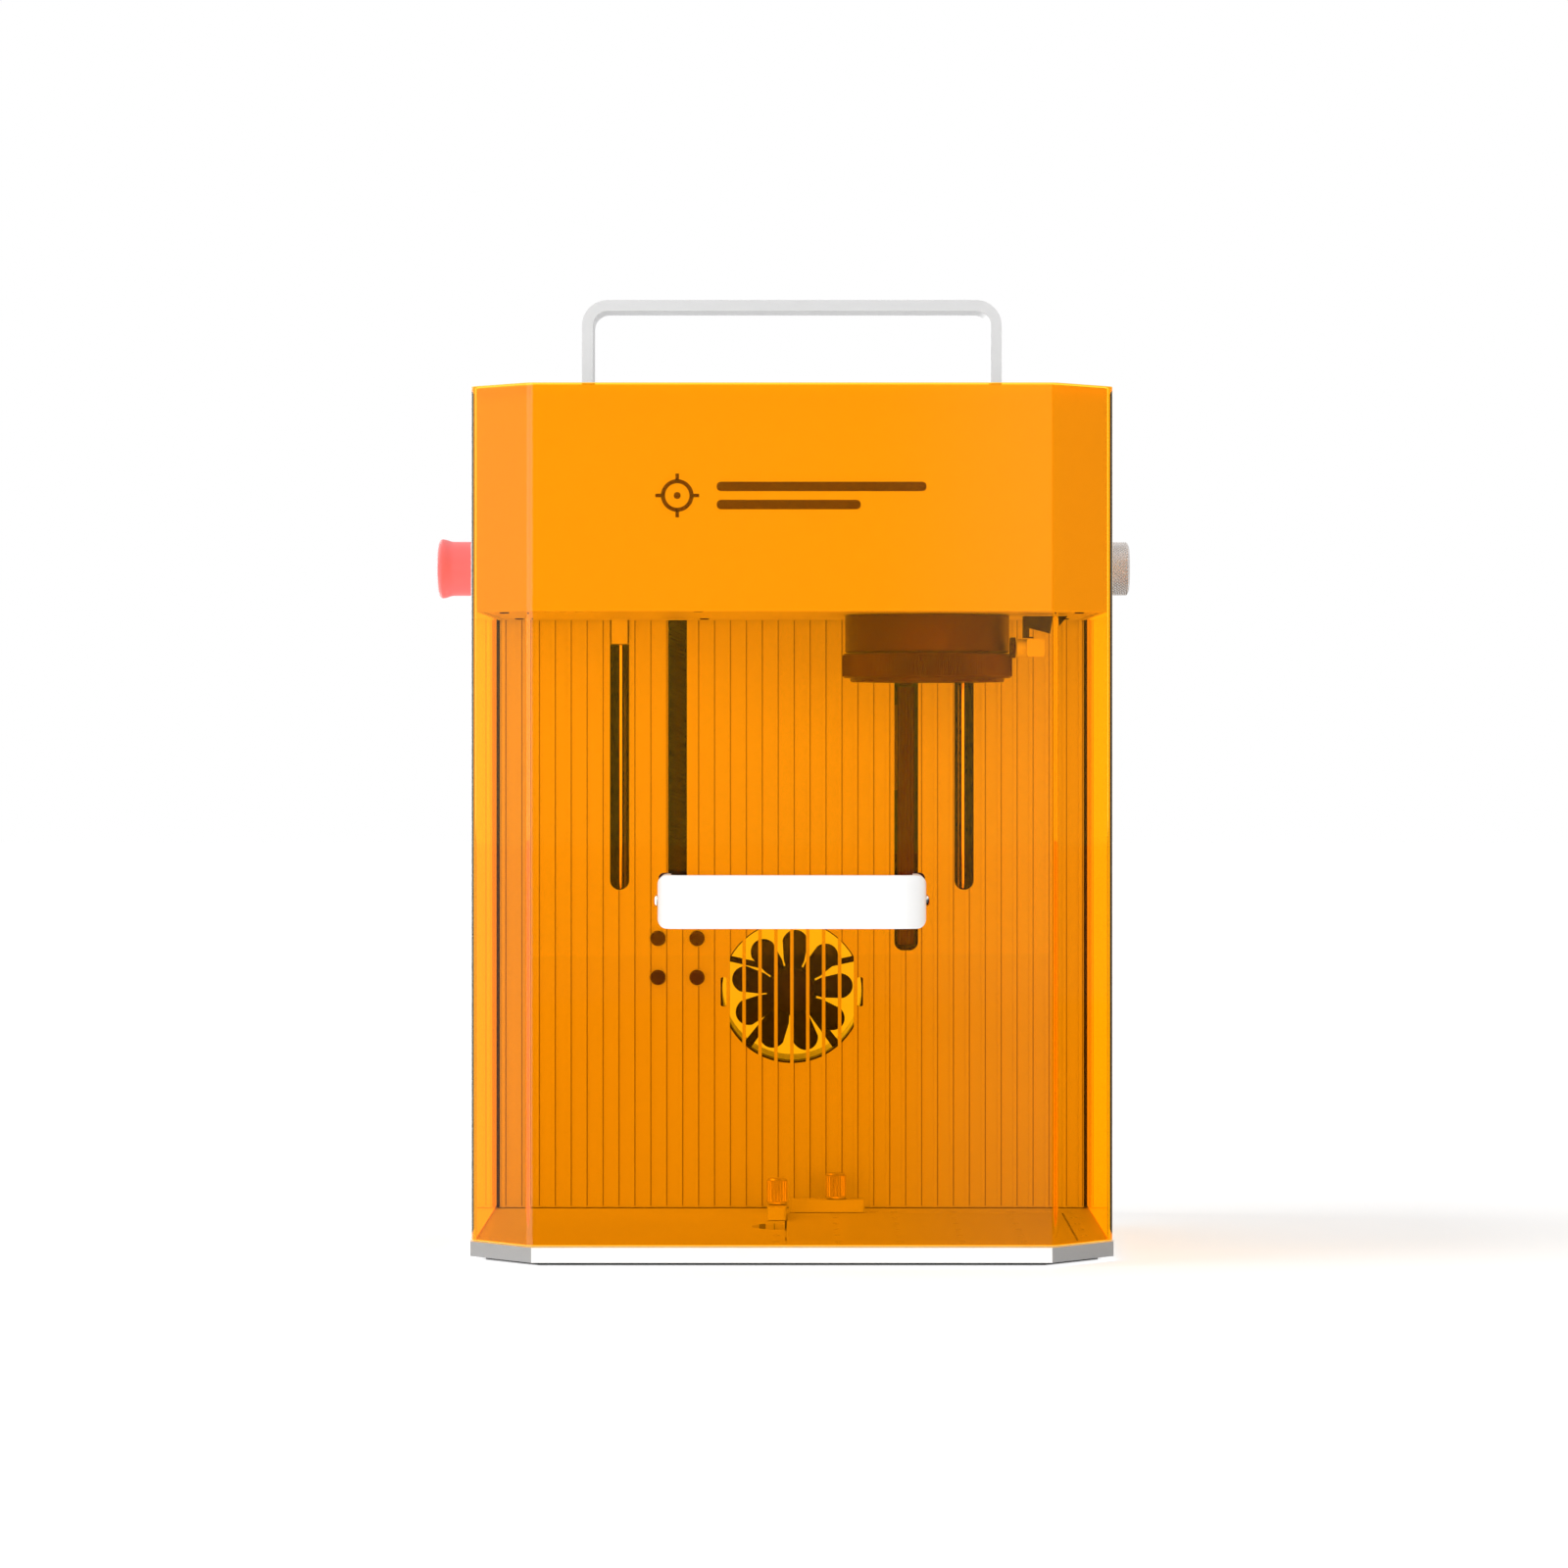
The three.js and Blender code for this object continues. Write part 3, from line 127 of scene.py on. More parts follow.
def mathematics(tree, operation, first, second=None, third=None, clamp=False):
    """A Math node on sockets or numbers, as its output socket."""
    made = add(tree, "ShaderNodeMath", operation=operation, use_clamp=clamp)
    for i, value in enumerate((first, second, third)):
        if isinstance(value, bpy.types.NodeSocket):
            join(tree, value, made.inputs[i])
        elif value is not None:
            made.inputs[i].default_value = value
    return made.outputs[0]


# %% [markdown]
# ## Studio
#
# A white machine on white needs its edges drawn by darker surroundings. The studio is a bright tent with
# a dark gap round the camera, so the flat front of the door mirrors almost nothing, and a lit left side,
# which the left chamfer mirrors as a pale veil. Light that a lamp throws and light that a surface mirrors
# are set apart with the Light Path node. What the sheet lets through shows a strong bluish white instead,
# so that the background behind the dyed sheet comes out a full orange.


# %% World: a light tent
def light_tent():
    world = bpy.data.worlds.new("light_tent")
    world.use_nodes = True
    tree = world.node_tree
    tree.nodes.clear()
    path = add(tree, "ShaderNodeLightPath")
    where = add(tree, "ShaderNodeSeparateXYZ")
    join(tree, add(tree, "ShaderNodeTexCoord").outputs["Generated"], where.inputs[0])
    x, y, z = where.outputs

    def ramp(value, low, high, strength):
        made = add(
            tree,
            "ShaderNodeMapRange",
            {"From Min": low, "From Max": high, "To Min": 0.0, "To Max": strength},
            interpolation_type="SMOOTHSTEP",
        )
        join(tree, value, made.inputs["Value"])
        return made.outputs[0]

    left_wall = ramp(x, -0.55, -0.99, 0.75)
    strip = mathematics(tree, "MULTIPLY", ramp(x, -0.14, -0.22, 2.9), ramp(x, -0.98, -0.9, 1.0))
    left_wall = mathematics(tree, "MAXIMUM", left_wall, strip)
    behind_right = mathematics(tree, "MULTIPLY", ramp(x, 0.012, 0.06, 0.42), ramp(x, 0.45, 0.1, 1.0))
    front_only = mathematics(tree, "MULTIPLY", behind_right, ramp(y, -0.5, -0.9, 1.0))
    roof = ramp(z, 0.2, 0.85, 1.25)
    back_wall = ramp(y, 0.0, 0.7, 0.7)
    sides = mathematics(tree, "MAXIMUM", left_wall, front_only)
    mirrored = mathematics(tree, "MAXIMUM", sides, mathematics(tree, "MAXIMUM", roof, back_wall))
    mirrored = mathematics(tree, "ADD", mirrored, ramp(z, -0.055, -0.051, 0.06))
    not_through = mathematics(tree, "SUBTRACT", 1.0, path.outputs["Is Transmission Ray"])
    only_mirrored = mathematics(tree, "MULTIPLY", path.outputs["Is Glossy Ray"], not_through)

    def backdrop(strength, colour=(1, 1, 1, 1)):
        return add(tree, "ShaderNodeBackground", {"Color": colour, "Strength": strength})

    seen, ambient, reflected = backdrop(1.0), backdrop(0.42), backdrop(1.0)
    through = backdrop(16.0, (0.08, 0.13, 1.0, 1))
    join(tree, mirrored, reflected.inputs["Strength"])

    def choose(factor, otherwise, chosen):
        mix = add(tree, "ShaderNodeMixShader")
        join(tree, factor, mix.inputs[0])
        join(tree, otherwise.outputs[0], mix.inputs[1])
        join(tree, chosen.outputs[0], mix.inputs[2])
        return mix

    shown = choose(path.outputs["Is Camera Ray"], ambient, seen)
    shown = choose(path.outputs["Is Transmission Ray"], shown, through)
    shown = choose(only_mirrored, shown, reflected)
    output = add(tree, "ShaderNodeOutputWorld")
    join(tree, shown.outputs[0], output.inputs[0])
    return world


scene.world = light_tent()


# %% Lamps and floor
def soft_lamp(name, place, aim, size, watts):
    light = bpy.data.lights.new(name, "AREA")
    light.shape = "RECTANGLE"
    light.size, light.size_y = size
    light.energy = watts
    lamp = bpy.data.objects.new(name, light)
    lamp.location = place
    lamp.rotation_euler = (Vector(aim) - Vector(place)).to_track_quat("-Z", "Y").to_euler()
    lamp.visible_glossy = False
    scene.collection.objects.link(lamp)
    return lamp


MIDDLE = Vector((0, 0, 0.15))
soft_lamp("front_key", (-0.3, -2.3, 0.12), MIDDLE, (2.6, 1.6), 30)
soft_lamp("front_fill", (0.9, -2.0, 0.1), MIDDLE, (0.8, 0.8), 6)


def shadow_sun():
    """A wide, weak sun from the upper left throws the one soft shadow."""
    light = bpy.data.lights.new("shadow_sun", "SUN")
    light.energy = 0.9
    light.angle = math.radians(30)
    sun = bpy.data.objects.new("shadow_sun", light)
    sun.rotation_euler = Vector((0.75, 0.12, -1.0)).to_track_quat("-Z", "Y").to_euler()
    sun.visible_glossy = False
    scene.collection.objects.link(sun)
    return sun


shadow_sun()


FLOOR_HALF, FLOOR_DROP = 6.0, 0.0002


def pale_floor():
    paper = bpy.data.materials.new("paper")
    paper.use_nodes = True
    shader = paper.node_tree.nodes["Principled BSDF"]
    shader.inputs["Base Color"].default_value = (0.94, 0.94, 0.94, 1)
    shader.inputs["Roughness"].default_value = 1.0
    shader.inputs["Specular IOR Level"].default_value = 0.0
    shader.inputs["Emission Color"].default_value = (1, 1, 1, 1)
    shader.inputs["Emission Strength"].default_value = 0.44
    mesh = bpy.data.meshes.new("floor")
    corners = [(x * FLOOR_HALF, y * FLOOR_HALF, 0) for x, y in ((-1, -1), (1, -1), (1, 1), (-1, 1))]
    mesh.from_pydata(corners, [], [(0, 1, 2, 3)])
    mesh.materials.append(paper)
    floor = bpy.data.objects.new("floor", mesh)
    floor.location.z = cad_box[0][2] - FLOOR_DROP
    floor.visible_glossy = False
    scene.collection.objects.link(floor)
    return floor


pale_floor()
print("studio ready")

# %% [markdown]
# ## Finishes
#
# Every finish is a Principled shader. What several of them share, the grain of moulded plastic or paint
# and its slow change of tone, is one node group with named inputs. It reads Object coordinates, so the
# grain has its real size on every piece.


# %% Shader group: surface grain
def grain_group():
    tree = bpy.data.node_groups.new("surface_grain", "ShaderNodeTree")
    sockets = tree.interface
    for name, value in (("Grain Size", 0.4), ("Stretch", 1.0), ("Tone Change", 0.04)):
        socket = sockets.new_socket(name, in_out="INPUT", socket_type="NodeSocketFloat")
        socket.default_value = value
    for name in ("Height", "Tone"):
        sockets.new_socket(name, in_out="OUTPUT", socket_type="NodeSocketFloat")
    entry = add(tree, "NodeGroupInput")
    leave = add(tree, "NodeGroupOutput")
    place = add(tree, "ShaderNodeTexCoord").outputs["Object"]
    stretch = add(tree, "ShaderNodeCombineXYZ", {"X": 1.0, "Y": 1.0})
    join(tree, entry.outputs["Stretch"], stretch.inputs["Z"])
    along = add(tree, "ShaderNodeVectorMath", operation="MULTIPLY")
    join(tree, place, along.inputs[0])
    join(tree, stretch.outputs[0], along.inputs[1])
    fine = add(tree, "ShaderNodeTexNoise", {"Detail": 3.0, "Roughness": 0.6})
    join(tree, along.outputs[0], fine.inputs["Vector"])
    join(tree, mathematics(tree, "DIVIDE", 1.0 / MM, entry.outputs["Grain Size"]), fine.inputs["Scale"])
    broad = add(tree, "ShaderNodeTexNoise", {"Scale": 14.0, "Detail": 2.0})
    join(tree, place, broad.inputs["Vector"])
    spread = mathematics(tree, "SUBTRACT", broad.outputs["Fac"], 0.5)
    both = mathematics(tree, "ADD", spread, mathematics(tree, "SUBTRACT", fine.outputs["Fac"], 0.5))
    join(tree, fine.outputs["Fac"], leave.inputs["Height"])
    tone = mathematics(tree, "MULTIPLY_ADD", both, entry.outputs["Tone Change"], 1.0)
    join(tree, tone, leave.inputs["Tone"])
    return tree


GRAIN = grain_group()


# %% The common recipe: colour, gloss and grain
def finish(name, colour, roughness, grain=0.4, depth=0.02, tone=0.05, stretch=1.0, **sockets):
    """A material with grain of that size in mm, depth in mm and change of tone."""
    material = bpy.data.materials.new(name)
    material.use_nodes = True
    tree = material.node_tree
    shader = tree.nodes["Principled BSDF"]
    for key, value in sockets.items():
        shader.inputs[key.replace("_", " ")].default_value = value
    surface = add(tree, "ShaderNodeGroup", node_tree=GRAIN)
    surface.inputs["Grain Size"].default_value = grain
    surface.inputs["Stretch"].default_value = stretch
    surface.inputs["Tone Change"].default_value = tone
    tinted = add(tree, "ShaderNodeMix", {"Factor": 1.0}, data_type="RGBA", blend_type="MULTIPLY")
    tinted.inputs["A"].default_value = (*colour, 1)
    join(tree, surface.outputs["Tone"], tinted.inputs["B"])
    join(tree, tinted.outputs["Result"], shader.inputs["Base Color"])
    rough = mathematics(tree, "MULTIPLY", surface.outputs["Tone"], roughness)
    join(tree, rough, shader.inputs["Roughness"])
    bump = add(tree, "ShaderNodeBump", {"Strength": 1.0, "Distance": depth * MM})
    join(tree, surface.outputs["Height"], bump.inputs["Height"])
    join(tree, bump.outputs["Normal"], shader.inputs["Normal"])
    return material


WHITE_PAINT = finish("white_paint", (0.88, 0.88, 0.875), 0.42, grain=0.35, depth=0.03, tone=0.05)
BASE_PAINT = finish("base_paint", (0.92, 0.92, 0.92), 0.45, grain=0.3, depth=0.05, tone=0.12)
# A grey-brown for the strips at the feet of the ribs: painted shadow.
RIB_SHADOW_PAINT = finish("painted_rib_shadow", (0.46, 0.38, 0.38), 0.6, grain=0.35, depth=0.03, tone=0.05)
WALL_PAINT = finish("wall_paint", (0.86, 0.85, 0.84), 0.5, grain=0.35, depth=0.03, tone=0.05)
WHITE_PLASTIC = finish("white_plastic", (0.9, 0.9, 0.895), 0.38, grain=0.25, depth=0.008, tone=0.02)
# The black and near-black colours below, apart from the rubber, carry a red cast: painted light, standing in
# for the orange light that reaches them through the door.
BLACK_PLASTIC = finish(
    "black_plastic", (0.018, 0.003, 0.003), 0.45, grain=0.3, depth=0.02, Specular_IOR_Level=0.15
)
BLACK_METAL = finish(
    "black_metal", (0.04, 0.004, 0.004), 0.4, grain=0.15, depth=0.006, Specular_IOR_Level=0.2
)
# Near black for the inside of the housing: painted shade, so that the slots look dark.
INSIDE_SHADE_PAINT = finish("painted_inside_shade", (0.012, 0.002, 0.002), 0.7, grain=0.6, depth=0.03, Specular_IOR_Level=0.1)
# A grey for the base's cut corners: painted shade, for faces that turn away from the front light.
CHAMFER_SHADE_PAINT = finish("painted_chamfer_shade", (0.35, 0.35, 0.35), 0.5, grain=0.3, depth=0.04, tone=0.2)
LENS_METAL = finish(
    "anodized_metal", (0.07, 0.006, 0.006), 0.34, grain=0.2, depth=0.006, Specular_IOR_Level=0.3
)
HANDLE_PAINT = finish("handle_paint", (0.8, 0.8, 0.8), 0.3, grain=0.4, depth=0.01, tone=0.03, Metallic=0.25)
# Near-black steel for the lead screw: painted shade, for a screw that sits in the shade behind its slot.
SHADED_STEEL = finish("steel_painted_shade", (0.035, 0.012, 0.01), 0.3, grain=0.2, depth=0.004, Metallic=1.0)
KNURLED_METAL = finish("knurled_metal", (0.9, 0.85, 0.82), 0.3, grain=0.2, depth=0.002, Metallic=0.75)
ALUMINIUM = finish("aluminium", (0.72, 0.72, 0.73), 0.34, grain=0.12, depth=0.006, stretch=0.08, Metallic=1.0)
STEEL = finish("steel", (0.7, 0.69, 0.68), 0.15, grain=0.2, depth=0.002, stretch=0.05, Metallic=1.0)
BRASS = finish("brass", (0.78, 0.55, 0.24), 0.3, grain=0.2, depth=0.006, Metallic=1.0)
RED_PLASTIC = finish("red_plastic", (1.0, 0.17, 0.165), 0.38, grain=0.3, depth=0.006, tone=0.03)
RUBBER = finish("rubber", (0.02, 0.02, 0.02), 0.8, grain=0.6, depth=0.06, tone=0.2)
CABLE_JACKET = finish("cable_jacket", (0.09, 0.018, 0.012), 0.55, grain=0.5, depth=0.02)
PRINT_INK = finish("print_ink", (0.06, 0.025, 0.025), 0.5, grain=0.2, depth=0.002)
MIRROR = finish("mirror", (0.93, 0.92, 0.86), 0.03, depth=0.0, tone=0.01, Metallic=1.0)
CIRCUIT_BOARD = finish("circuit_board", (0.02, 0.13, 0.06), 0.35, grain=1.5, depth=0.03, tone=0.35)

# %% [markdown]
# ## Tinted acrylic
#
# Acrylic is a glass with a low index of refraction and a strong orange dye. Cycles would make the inside
# of the case dark and noisy, because lamps can't reach through a refracting sheet, so rays from lamps and
# rays that a matt surface sends out pass straight through with a tint of their own. What the eye sees
# through the sheet is still refracted. Both the sheet, at grazing angles, and its sawn edges get an orange
# emission: a painted glow that stands in for the light which dyed acrylic gathers along its length. The
# sawn edges are a second finish.

# %% Acrylic and lens glass
TINT = (1.0, 0.405, 0.003, 1)
# Real acrylic has 1.49. A little less keeps the outline of the bent sheet bright.
ACRYLIC_INDEX, GLASS_INDEX = 1.35, 1.52


def edge_glow(tree, shader, colour):
    """A painted glow: orange emission at grazing angles, standing in for the light that dyed sheet gathers
    along its length.
    """
    graze = add(tree, "ShaderNodeLayerWeight", {"Blend": 0.5}).outputs["Facing"]
    share = add(
        tree,
        "ShaderNodeMapRange",
        {"From Min": 0.74, "From Max": 0.93, "To Min": 0.0, "To Max": 1.0},
        interpolation_type="SMOOTHSTEP",
    )
    join(tree, graze, share.inputs["Value"])
    painted_glow = add(tree, "ShaderNodeMix", data_type="RGBA", blend_type="MIX")
    painted_glow.inputs["A"].default_value = (0, 0, 0, 1)
    painted_glow.inputs["B"].default_value = colour
    join(tree, share.outputs[0], painted_glow.inputs["Factor"])
    join(tree, painted_glow.outputs["Result"], shader.inputs["Emission Color"])
    shader.inputs["Emission Strength"].default_value = 1.0


def clear_sheet(name, tint, index, shade):
    material = bpy.data.materials.new(name)
    material.use_nodes = True
    tree = material.node_tree
    shader = tree.nodes["Principled BSDF"]
    shader.inputs["Base Color"].default_value = tint
    shader.inputs["Roughness"].default_value = 0.0
    shader.inputs["IOR"].default_value = index
    shader.inputs["Transmission Weight"].default_value = 1.0
    path = add(tree, "ShaderNodeLightPath")
    straight = add(tree, "ShaderNodeBsdfTransparent", {"Color": shade})
    passing = mathematics(tree, "MAXIMUM", path.outputs["Is Shadow Ray"], path.outputs["Is Diffuse Ray"])
    mix = add(tree, "ShaderNodeMixShader")
    join(tree, passing, mix.inputs[0])
    join(tree, shader.outputs[0], mix.inputs[1])
    join(tree, straight.outputs[0], mix.inputs[2])
    join(tree, mix.outputs[0], tree.nodes["Material Output"].inputs["Surface"])
    return material


# Light for the inside passes two faces of the sheet, so each takes the square root of the tint.
def both_faces(red, green, blue):
    return (math.sqrt(red), math.sqrt(green), math.sqrt(blue), 1)


ACRYLIC = clear_sheet("tinted_acrylic", TINT, ACRYLIC_INDEX, both_faces(1.0, 0.72, 0.3))
# The sheet itself gets the painted glow at grazing angles.
edge_glow(ACRYLIC.node_tree, ACRYLIC.node_tree.nodes["Principled BSDF"], (0.9, 0.52, 0.004, 1))
LENS_GLASS = clear_sheet("lens_glass", (0.86, 0.93, 1.0, 1), GLASS_INDEX, both_faces(0.9, 0.9, 0.9))
# The sawn edges: orange with an emission, a painted glow.
GLOWING_EDGE_PAINT = finish("acrylic_edge_painted_glow", (1.0, 0.5, 0.02), 0.35, grain=0.2, depth=0.01, tone=0.1)
edge_shader = GLOWING_EDGE_PAINT.node_tree.nodes["Principled BSDF"]
edge_shader.inputs["Emission Color"].default_value = (1.0, 0.55, 0.03, 1)
edge_shader.inputs["Emission Strength"].default_value = 0.35
print(len(bpy.data.materials), "materials")

# %% [markdown]
# ## Making meshes
#
# Most of this machine is bent sheet, plate and turned parts, so a few makers cover it: a prism from an
# outline with holes, a lathe, a Boolean cut, and a bevel that rounds what a tool or a mould would round.
# Each finished piece lies at the origin with its place in its mesh, and rides on the body that it
# belongs to.

# %% Outlines
PLAN, FRONT, SIDE = "plan", "front", "side"


def arc(u, v, radius, start, end, steps=12):
    """Points of an arc in degrees, both ends included."""
    turn = [math.radians(start + (end - start) * i / steps) for i in range(steps + 1)]
    return [(u + radius * math.cos(a), v + radius * math.sin(a)) for a in turn]


def circle(u, v, radius, steps=48):
    return arc(u, v, radius, 0, 360, steps)[:-1]


def rounded_rectangle(left, right, low, high, radius, steps=8):
    corners = (
        (right - radius, low + radius, -90),
        (right - radius, high - radius, 0),
        (left + radius, high - radius, 90),
        (left + radius, low + radius, 180),
    )
    return [p for u, v, start in corners for p in arc(u, v, radius, start, start + 90, steps)]


def rectangle(left, right, low, high):
    return [(left, low), (right, low), (right, high), (left, high)]


def place(view, u, v, along):
    return {PLAN: (u, v, along), FRONT: (u, along, v), SIDE: (along, u, v)}[view]


# %% Objects from points
def put(name, mesh):
    made = bpy.data.objects.new(name, mesh)
    scene.collection.objects.link(made)
    return made


def mesh_from(name, points, faces):
    mesh = bpy.data.meshes.new(name)
    mesh.from_pydata(points, [], faces)
    mesh.validate()
    outwards(mesh)
    return put(name, mesh)


def outwards(mesh, merge=1e-7):
    """Merges doubles and turns every face of a closed mesh outwards."""
    work = bmesh.new()
    work.from_mesh(mesh)
    bmesh.ops.remove_doubles(work, verts=work.verts, dist=merge)
    bmesh.ops.recalc_face_normals(work, faces=work.faces)
    work.to_mesh(mesh)
    work.free()


def join_flat_faces(mesh, merge=None):
    """Merges doubles within that distance, if given, and makes one face of neighbours that lie flat."""
    work = bmesh.new()
    work.from_mesh(mesh)
    if merge:
        bmesh.ops.remove_doubles(work, verts=work.verts, dist=merge)
    bmesh.ops.dissolve_limit(work, angle_limit=math.radians(0.5), verts=work.verts, edges=work.edges)
    work.to_mesh(mesh)
    work.free()


def prism(name, view, outline, start, end, holes=()):
    """A plate: an outline with holes, in millimetres, standing from start to end."""
    loops = [outline, *holes]
    rings = [[Vector((u, v, 0)) for u, v in loop] for loop in loops]
    flat = [corner for ring in rings for corner in ring]
    caps = [tuple(face) for face in tessellate_polygon(rings)]
    count = len(flat)
    points = [Vector(place(view, p.x, p.y, along)) * MM for along in (start, end) for p in flat]
    faces = caps + [tuple(i + count for i in face) for face in caps]
    begin = 0
    for loop in loops:
        size = len(loop)
        for i in range(size):
            a, b = begin + i, begin + (i + 1) % size
            faces.append((a, b, b + count, a + count))
        begin += size
    made = mesh_from(name, points, faces)
    join_flat_faces(made.data)
    return made


AXES = {
    "+z": Matrix.Identity(3),
    "+x": Matrix(((0, 0, 1), (1, 0, 0), (0, 1, 0))),
    "-x": Matrix(((0, 0, -1), (-1, 0, 0), (0, 1, 0))),
    "+y": Matrix(((1, 0, 0), (0, 0, 1), (0, -1, 0))),
    "-y": Matrix(((1, 0, 0), (0, 0, -1), (0, 1, 0))),
}


def lathe(name, profile, centre=(0, 0, 0), axis="+z", steps=96, ring=False):
    """A turned piece from (radius, height) points in millimetres; a ring's profile closes on itself."""
    points, rows = [], []
    for radius, height in profile:
        if radius == 0:
            rows.append([len(points)] * steps)
            points.append(Vector((0, 0, height)))
            continue
        rows.append([len(points) + i for i in range(steps)])
        for i in range(steps):
            turn = 2 * math.pi * i / steps
            points.append(Vector((radius * math.cos(turn), radius * math.sin(turn), height)))
    faces = []
    pairs = list(zip(rows, rows[1:])) + ([(rows[-1], rows[0])] if ring else [])
    for low, high in pairs:
        for i in range(steps):
            j = (i + 1) % steps
            face = dict.fromkeys((low[i], low[j], high[j], high[i]))
            if len(face) > 2:
                faces.append(tuple(face))
    turned = [(AXES[axis] @ p + Vector(centre)) * MM for p in points]
    return mesh_from(name, turned, faces)


# %% Modifiers, applied at once
def apply_modifiers(piece):
    bpy.context.view_layer.update()
    graph = bpy.context.evaluated_depsgraph_get()
    mesh = bpy.data.meshes.new_from_object(piece.evaluated_get(graph))
    old = piece.data
    piece.modifiers.clear()
    piece.data = mesh
    bpy.data.meshes.remove(old)
    mesh.name = piece.name
    return piece


def smooth(piece, angle=32):
    piece.data.shade_smooth()
    piece.data.set_sharp_from_angle(angle=math.radians(angle))
    return piece


def soften(piece, width, segments=2, angle=35):
    """Rounds every edge sharper than the angle by that width in millimetres; large faces stay flat."""
    bevel = piece.modifiers.new("round", "BEVEL")
    bevel.width = width * MM
    bevel.segments = segments
    bevel.limit_method = "ANGLE"
    bevel.angle_limit = math.radians(angle)
    smooth(apply_modifiers(piece), 40)
    flatten = piece.modifiers.new("flatten", "WEIGHTED_NORMAL")
    flatten.weight = 100
    flatten.keep_sharp = True
    return apply_modifiers(piece)


def boolean(piece, tools, operation="DIFFERENCE"):
    for tool in tools:
        step = piece.modifiers.new("cut", "BOOLEAN")
        step.operation = operation
        step.solver = "EXACT"
        step.object = tool
        apply_modifiers(piece)
        bpy.data.objects.remove(tool)
    return piece


def merged_copy(node, name):
    """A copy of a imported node's mesh with its doubles merged and its flat faces joined."""
    mesh = frame["nodes"][node].data.copy()
    join_flat_faces(mesh, merge=2e-6)
    mesh.materials.clear()
    return put(name, mesh)


# %% Fitting a piece to the machine
BODY_OF = {node: body for body, nodes in frame["record"]["behaviour"]["bodies"].items() for node in nodes}


def millimetres(node):
    low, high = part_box(node)
    return [v / MM for v in low], [v / MM for v in high]


def middle_of(node):
    """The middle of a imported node's box, in millimetres."""
    low, high = millimetres(node)
    return [(a + b) / 2 for a, b in zip(low, high)]


def fit(piece, material, slot, *nodes, body=None):
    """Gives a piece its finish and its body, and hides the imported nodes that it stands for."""
    if material is not None:
        piece.data.materials.clear()
        piece.data.materials.append(material)
    if nodes:
        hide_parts(*nodes)
    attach(piece, body or BODY_OF[nodes[0]])
    return piece


def rounded_copy(node, width, material, slot):
    """Stands for a node whose shape is right, with its sharp edges rounded."""
    return fit(soften(merged_copy(node, node + "_rounded"), width), material, slot, node)


print("makers ready")

# %% [markdown]
# ## Geometry nodes for what repeats
#
# Flutes, knurls, screws, threads, perforations and fan blades are one shape many times over. Each rule is
# a tree with named inputs, run once on a host mesh, and its result becomes a plain mesh. Instances are
# realized at the end of every tree, because only real faces leave Blender.


# %% Starting and ending a geometry tree
def geometry_tree(name, **inputs):
    tree = bpy.data.node_groups.new(name, "GeometryNodeTree")
    tree.interface.new_socket("Geometry", in_out="INPUT", socket_type="NodeSocketGeometry")
    for label, value in inputs.items():
        kind = "NodeSocketInt" if isinstance(value, int) else "NodeSocketFloat"
        socket = tree.interface.new_socket(label.replace("_", " "), in_out="INPUT", socket_type=kind)
        socket.default_value = value
    tree.interface.new_socket("Material", in_out="INPUT", socket_type="NodeSocketMaterial")
    tree.interface.new_socket("Geometry", in_out="OUTPUT", socket_type="NodeSocketGeometry")
    return tree, add(tree, "NodeGroupInput")


def end_tree(tree, entry, geometry):
    real = add(tree, "GeometryNodeRealizeInstances")
    painted = add(tree, "GeometryNodeSetMaterial")
    join(tree, geometry, real.inputs[0])
    join(tree, real.outputs[0], painted.inputs["Geometry"])
    join(tree, entry.outputs["Material"], painted.inputs["Material"])
    join(tree, painted.outputs[0], add(tree, "NodeGroupOutput").inputs[0])
    return tree


def xyz(tree, x=0.0, y=0.0, z=0.0):
    """Three sockets or numbers as a vector socket."""
    made = add(tree, "ShaderNodeCombineXYZ")
    for value, socket in zip((x, y, z), made.inputs):
        if isinstance(value, bpy.types.NodeSocket):
            join(tree, value, socket)
        else:
            socket.default_value = value
    return made.outputs[0]


def turned(tree, x=0.0, y=0.0, z=0.0):
    facing = add(tree, "FunctionNodeEulerToRotation")
    join(tree, xyz(tree, x, y, z), facing.inputs[0])
    return facing.outputs[0]


def copies_on(tree, points, shape, facing=None):
    """One instance of a shape on each point."""
    copies = add(tree, "GeometryNodeInstanceOnPoints")
    join(tree, points, copies.inputs["Points"])
    join(tree, shape, copies.inputs["Instance"])
    if facing:
        join(tree, facing, copies.inputs["Rotation"])
    return copies.outputs[0]


def raised(tree, shape, height):
    moved = add(tree, "GeometryNodeTransform")
    join(tree, shape, moved.inputs["Geometry"])
    join(tree, xyz(tree, z=height), moved.inputs["Translation"])
    return moved.outputs[0]


def run_tree(piece, tree, values):
    """Runs a tree on a piece; its inputs are set by their identifiers, and the result is a plain mesh."""
    modifier = piece.modifiers.new("grow", "NODES")
    modifier.node_group = tree
    for item in tree.interface.items_tree:
        if item.in_out == "INPUT" and item.name in values:
            modifier[item.identifier] = values[item.name]
    return apply_modifiers(piece)


def grow(name, tree, material, host=None, centre=(0, 0, 0), axis="+z", **values):
    """Runs a tree, whose lengths are in millimetres, and returns its result as a plain mesh in metres."""
    mesh = bpy.data.meshes.new(name)
    mesh.from_pydata([Vector(p) for p in host or []], [], [])
    given = {label.replace("_", " "): value for label, value in values.items()}
    made = run_tree(put(name, mesh), tree, given | {"Material": material})
    turn = AXES[axis].to_4x4()
    made.data.transform(Matrix.Scale(MM, 4) @ Matrix.Translation(Vector(centre)) @ turn)
    return made


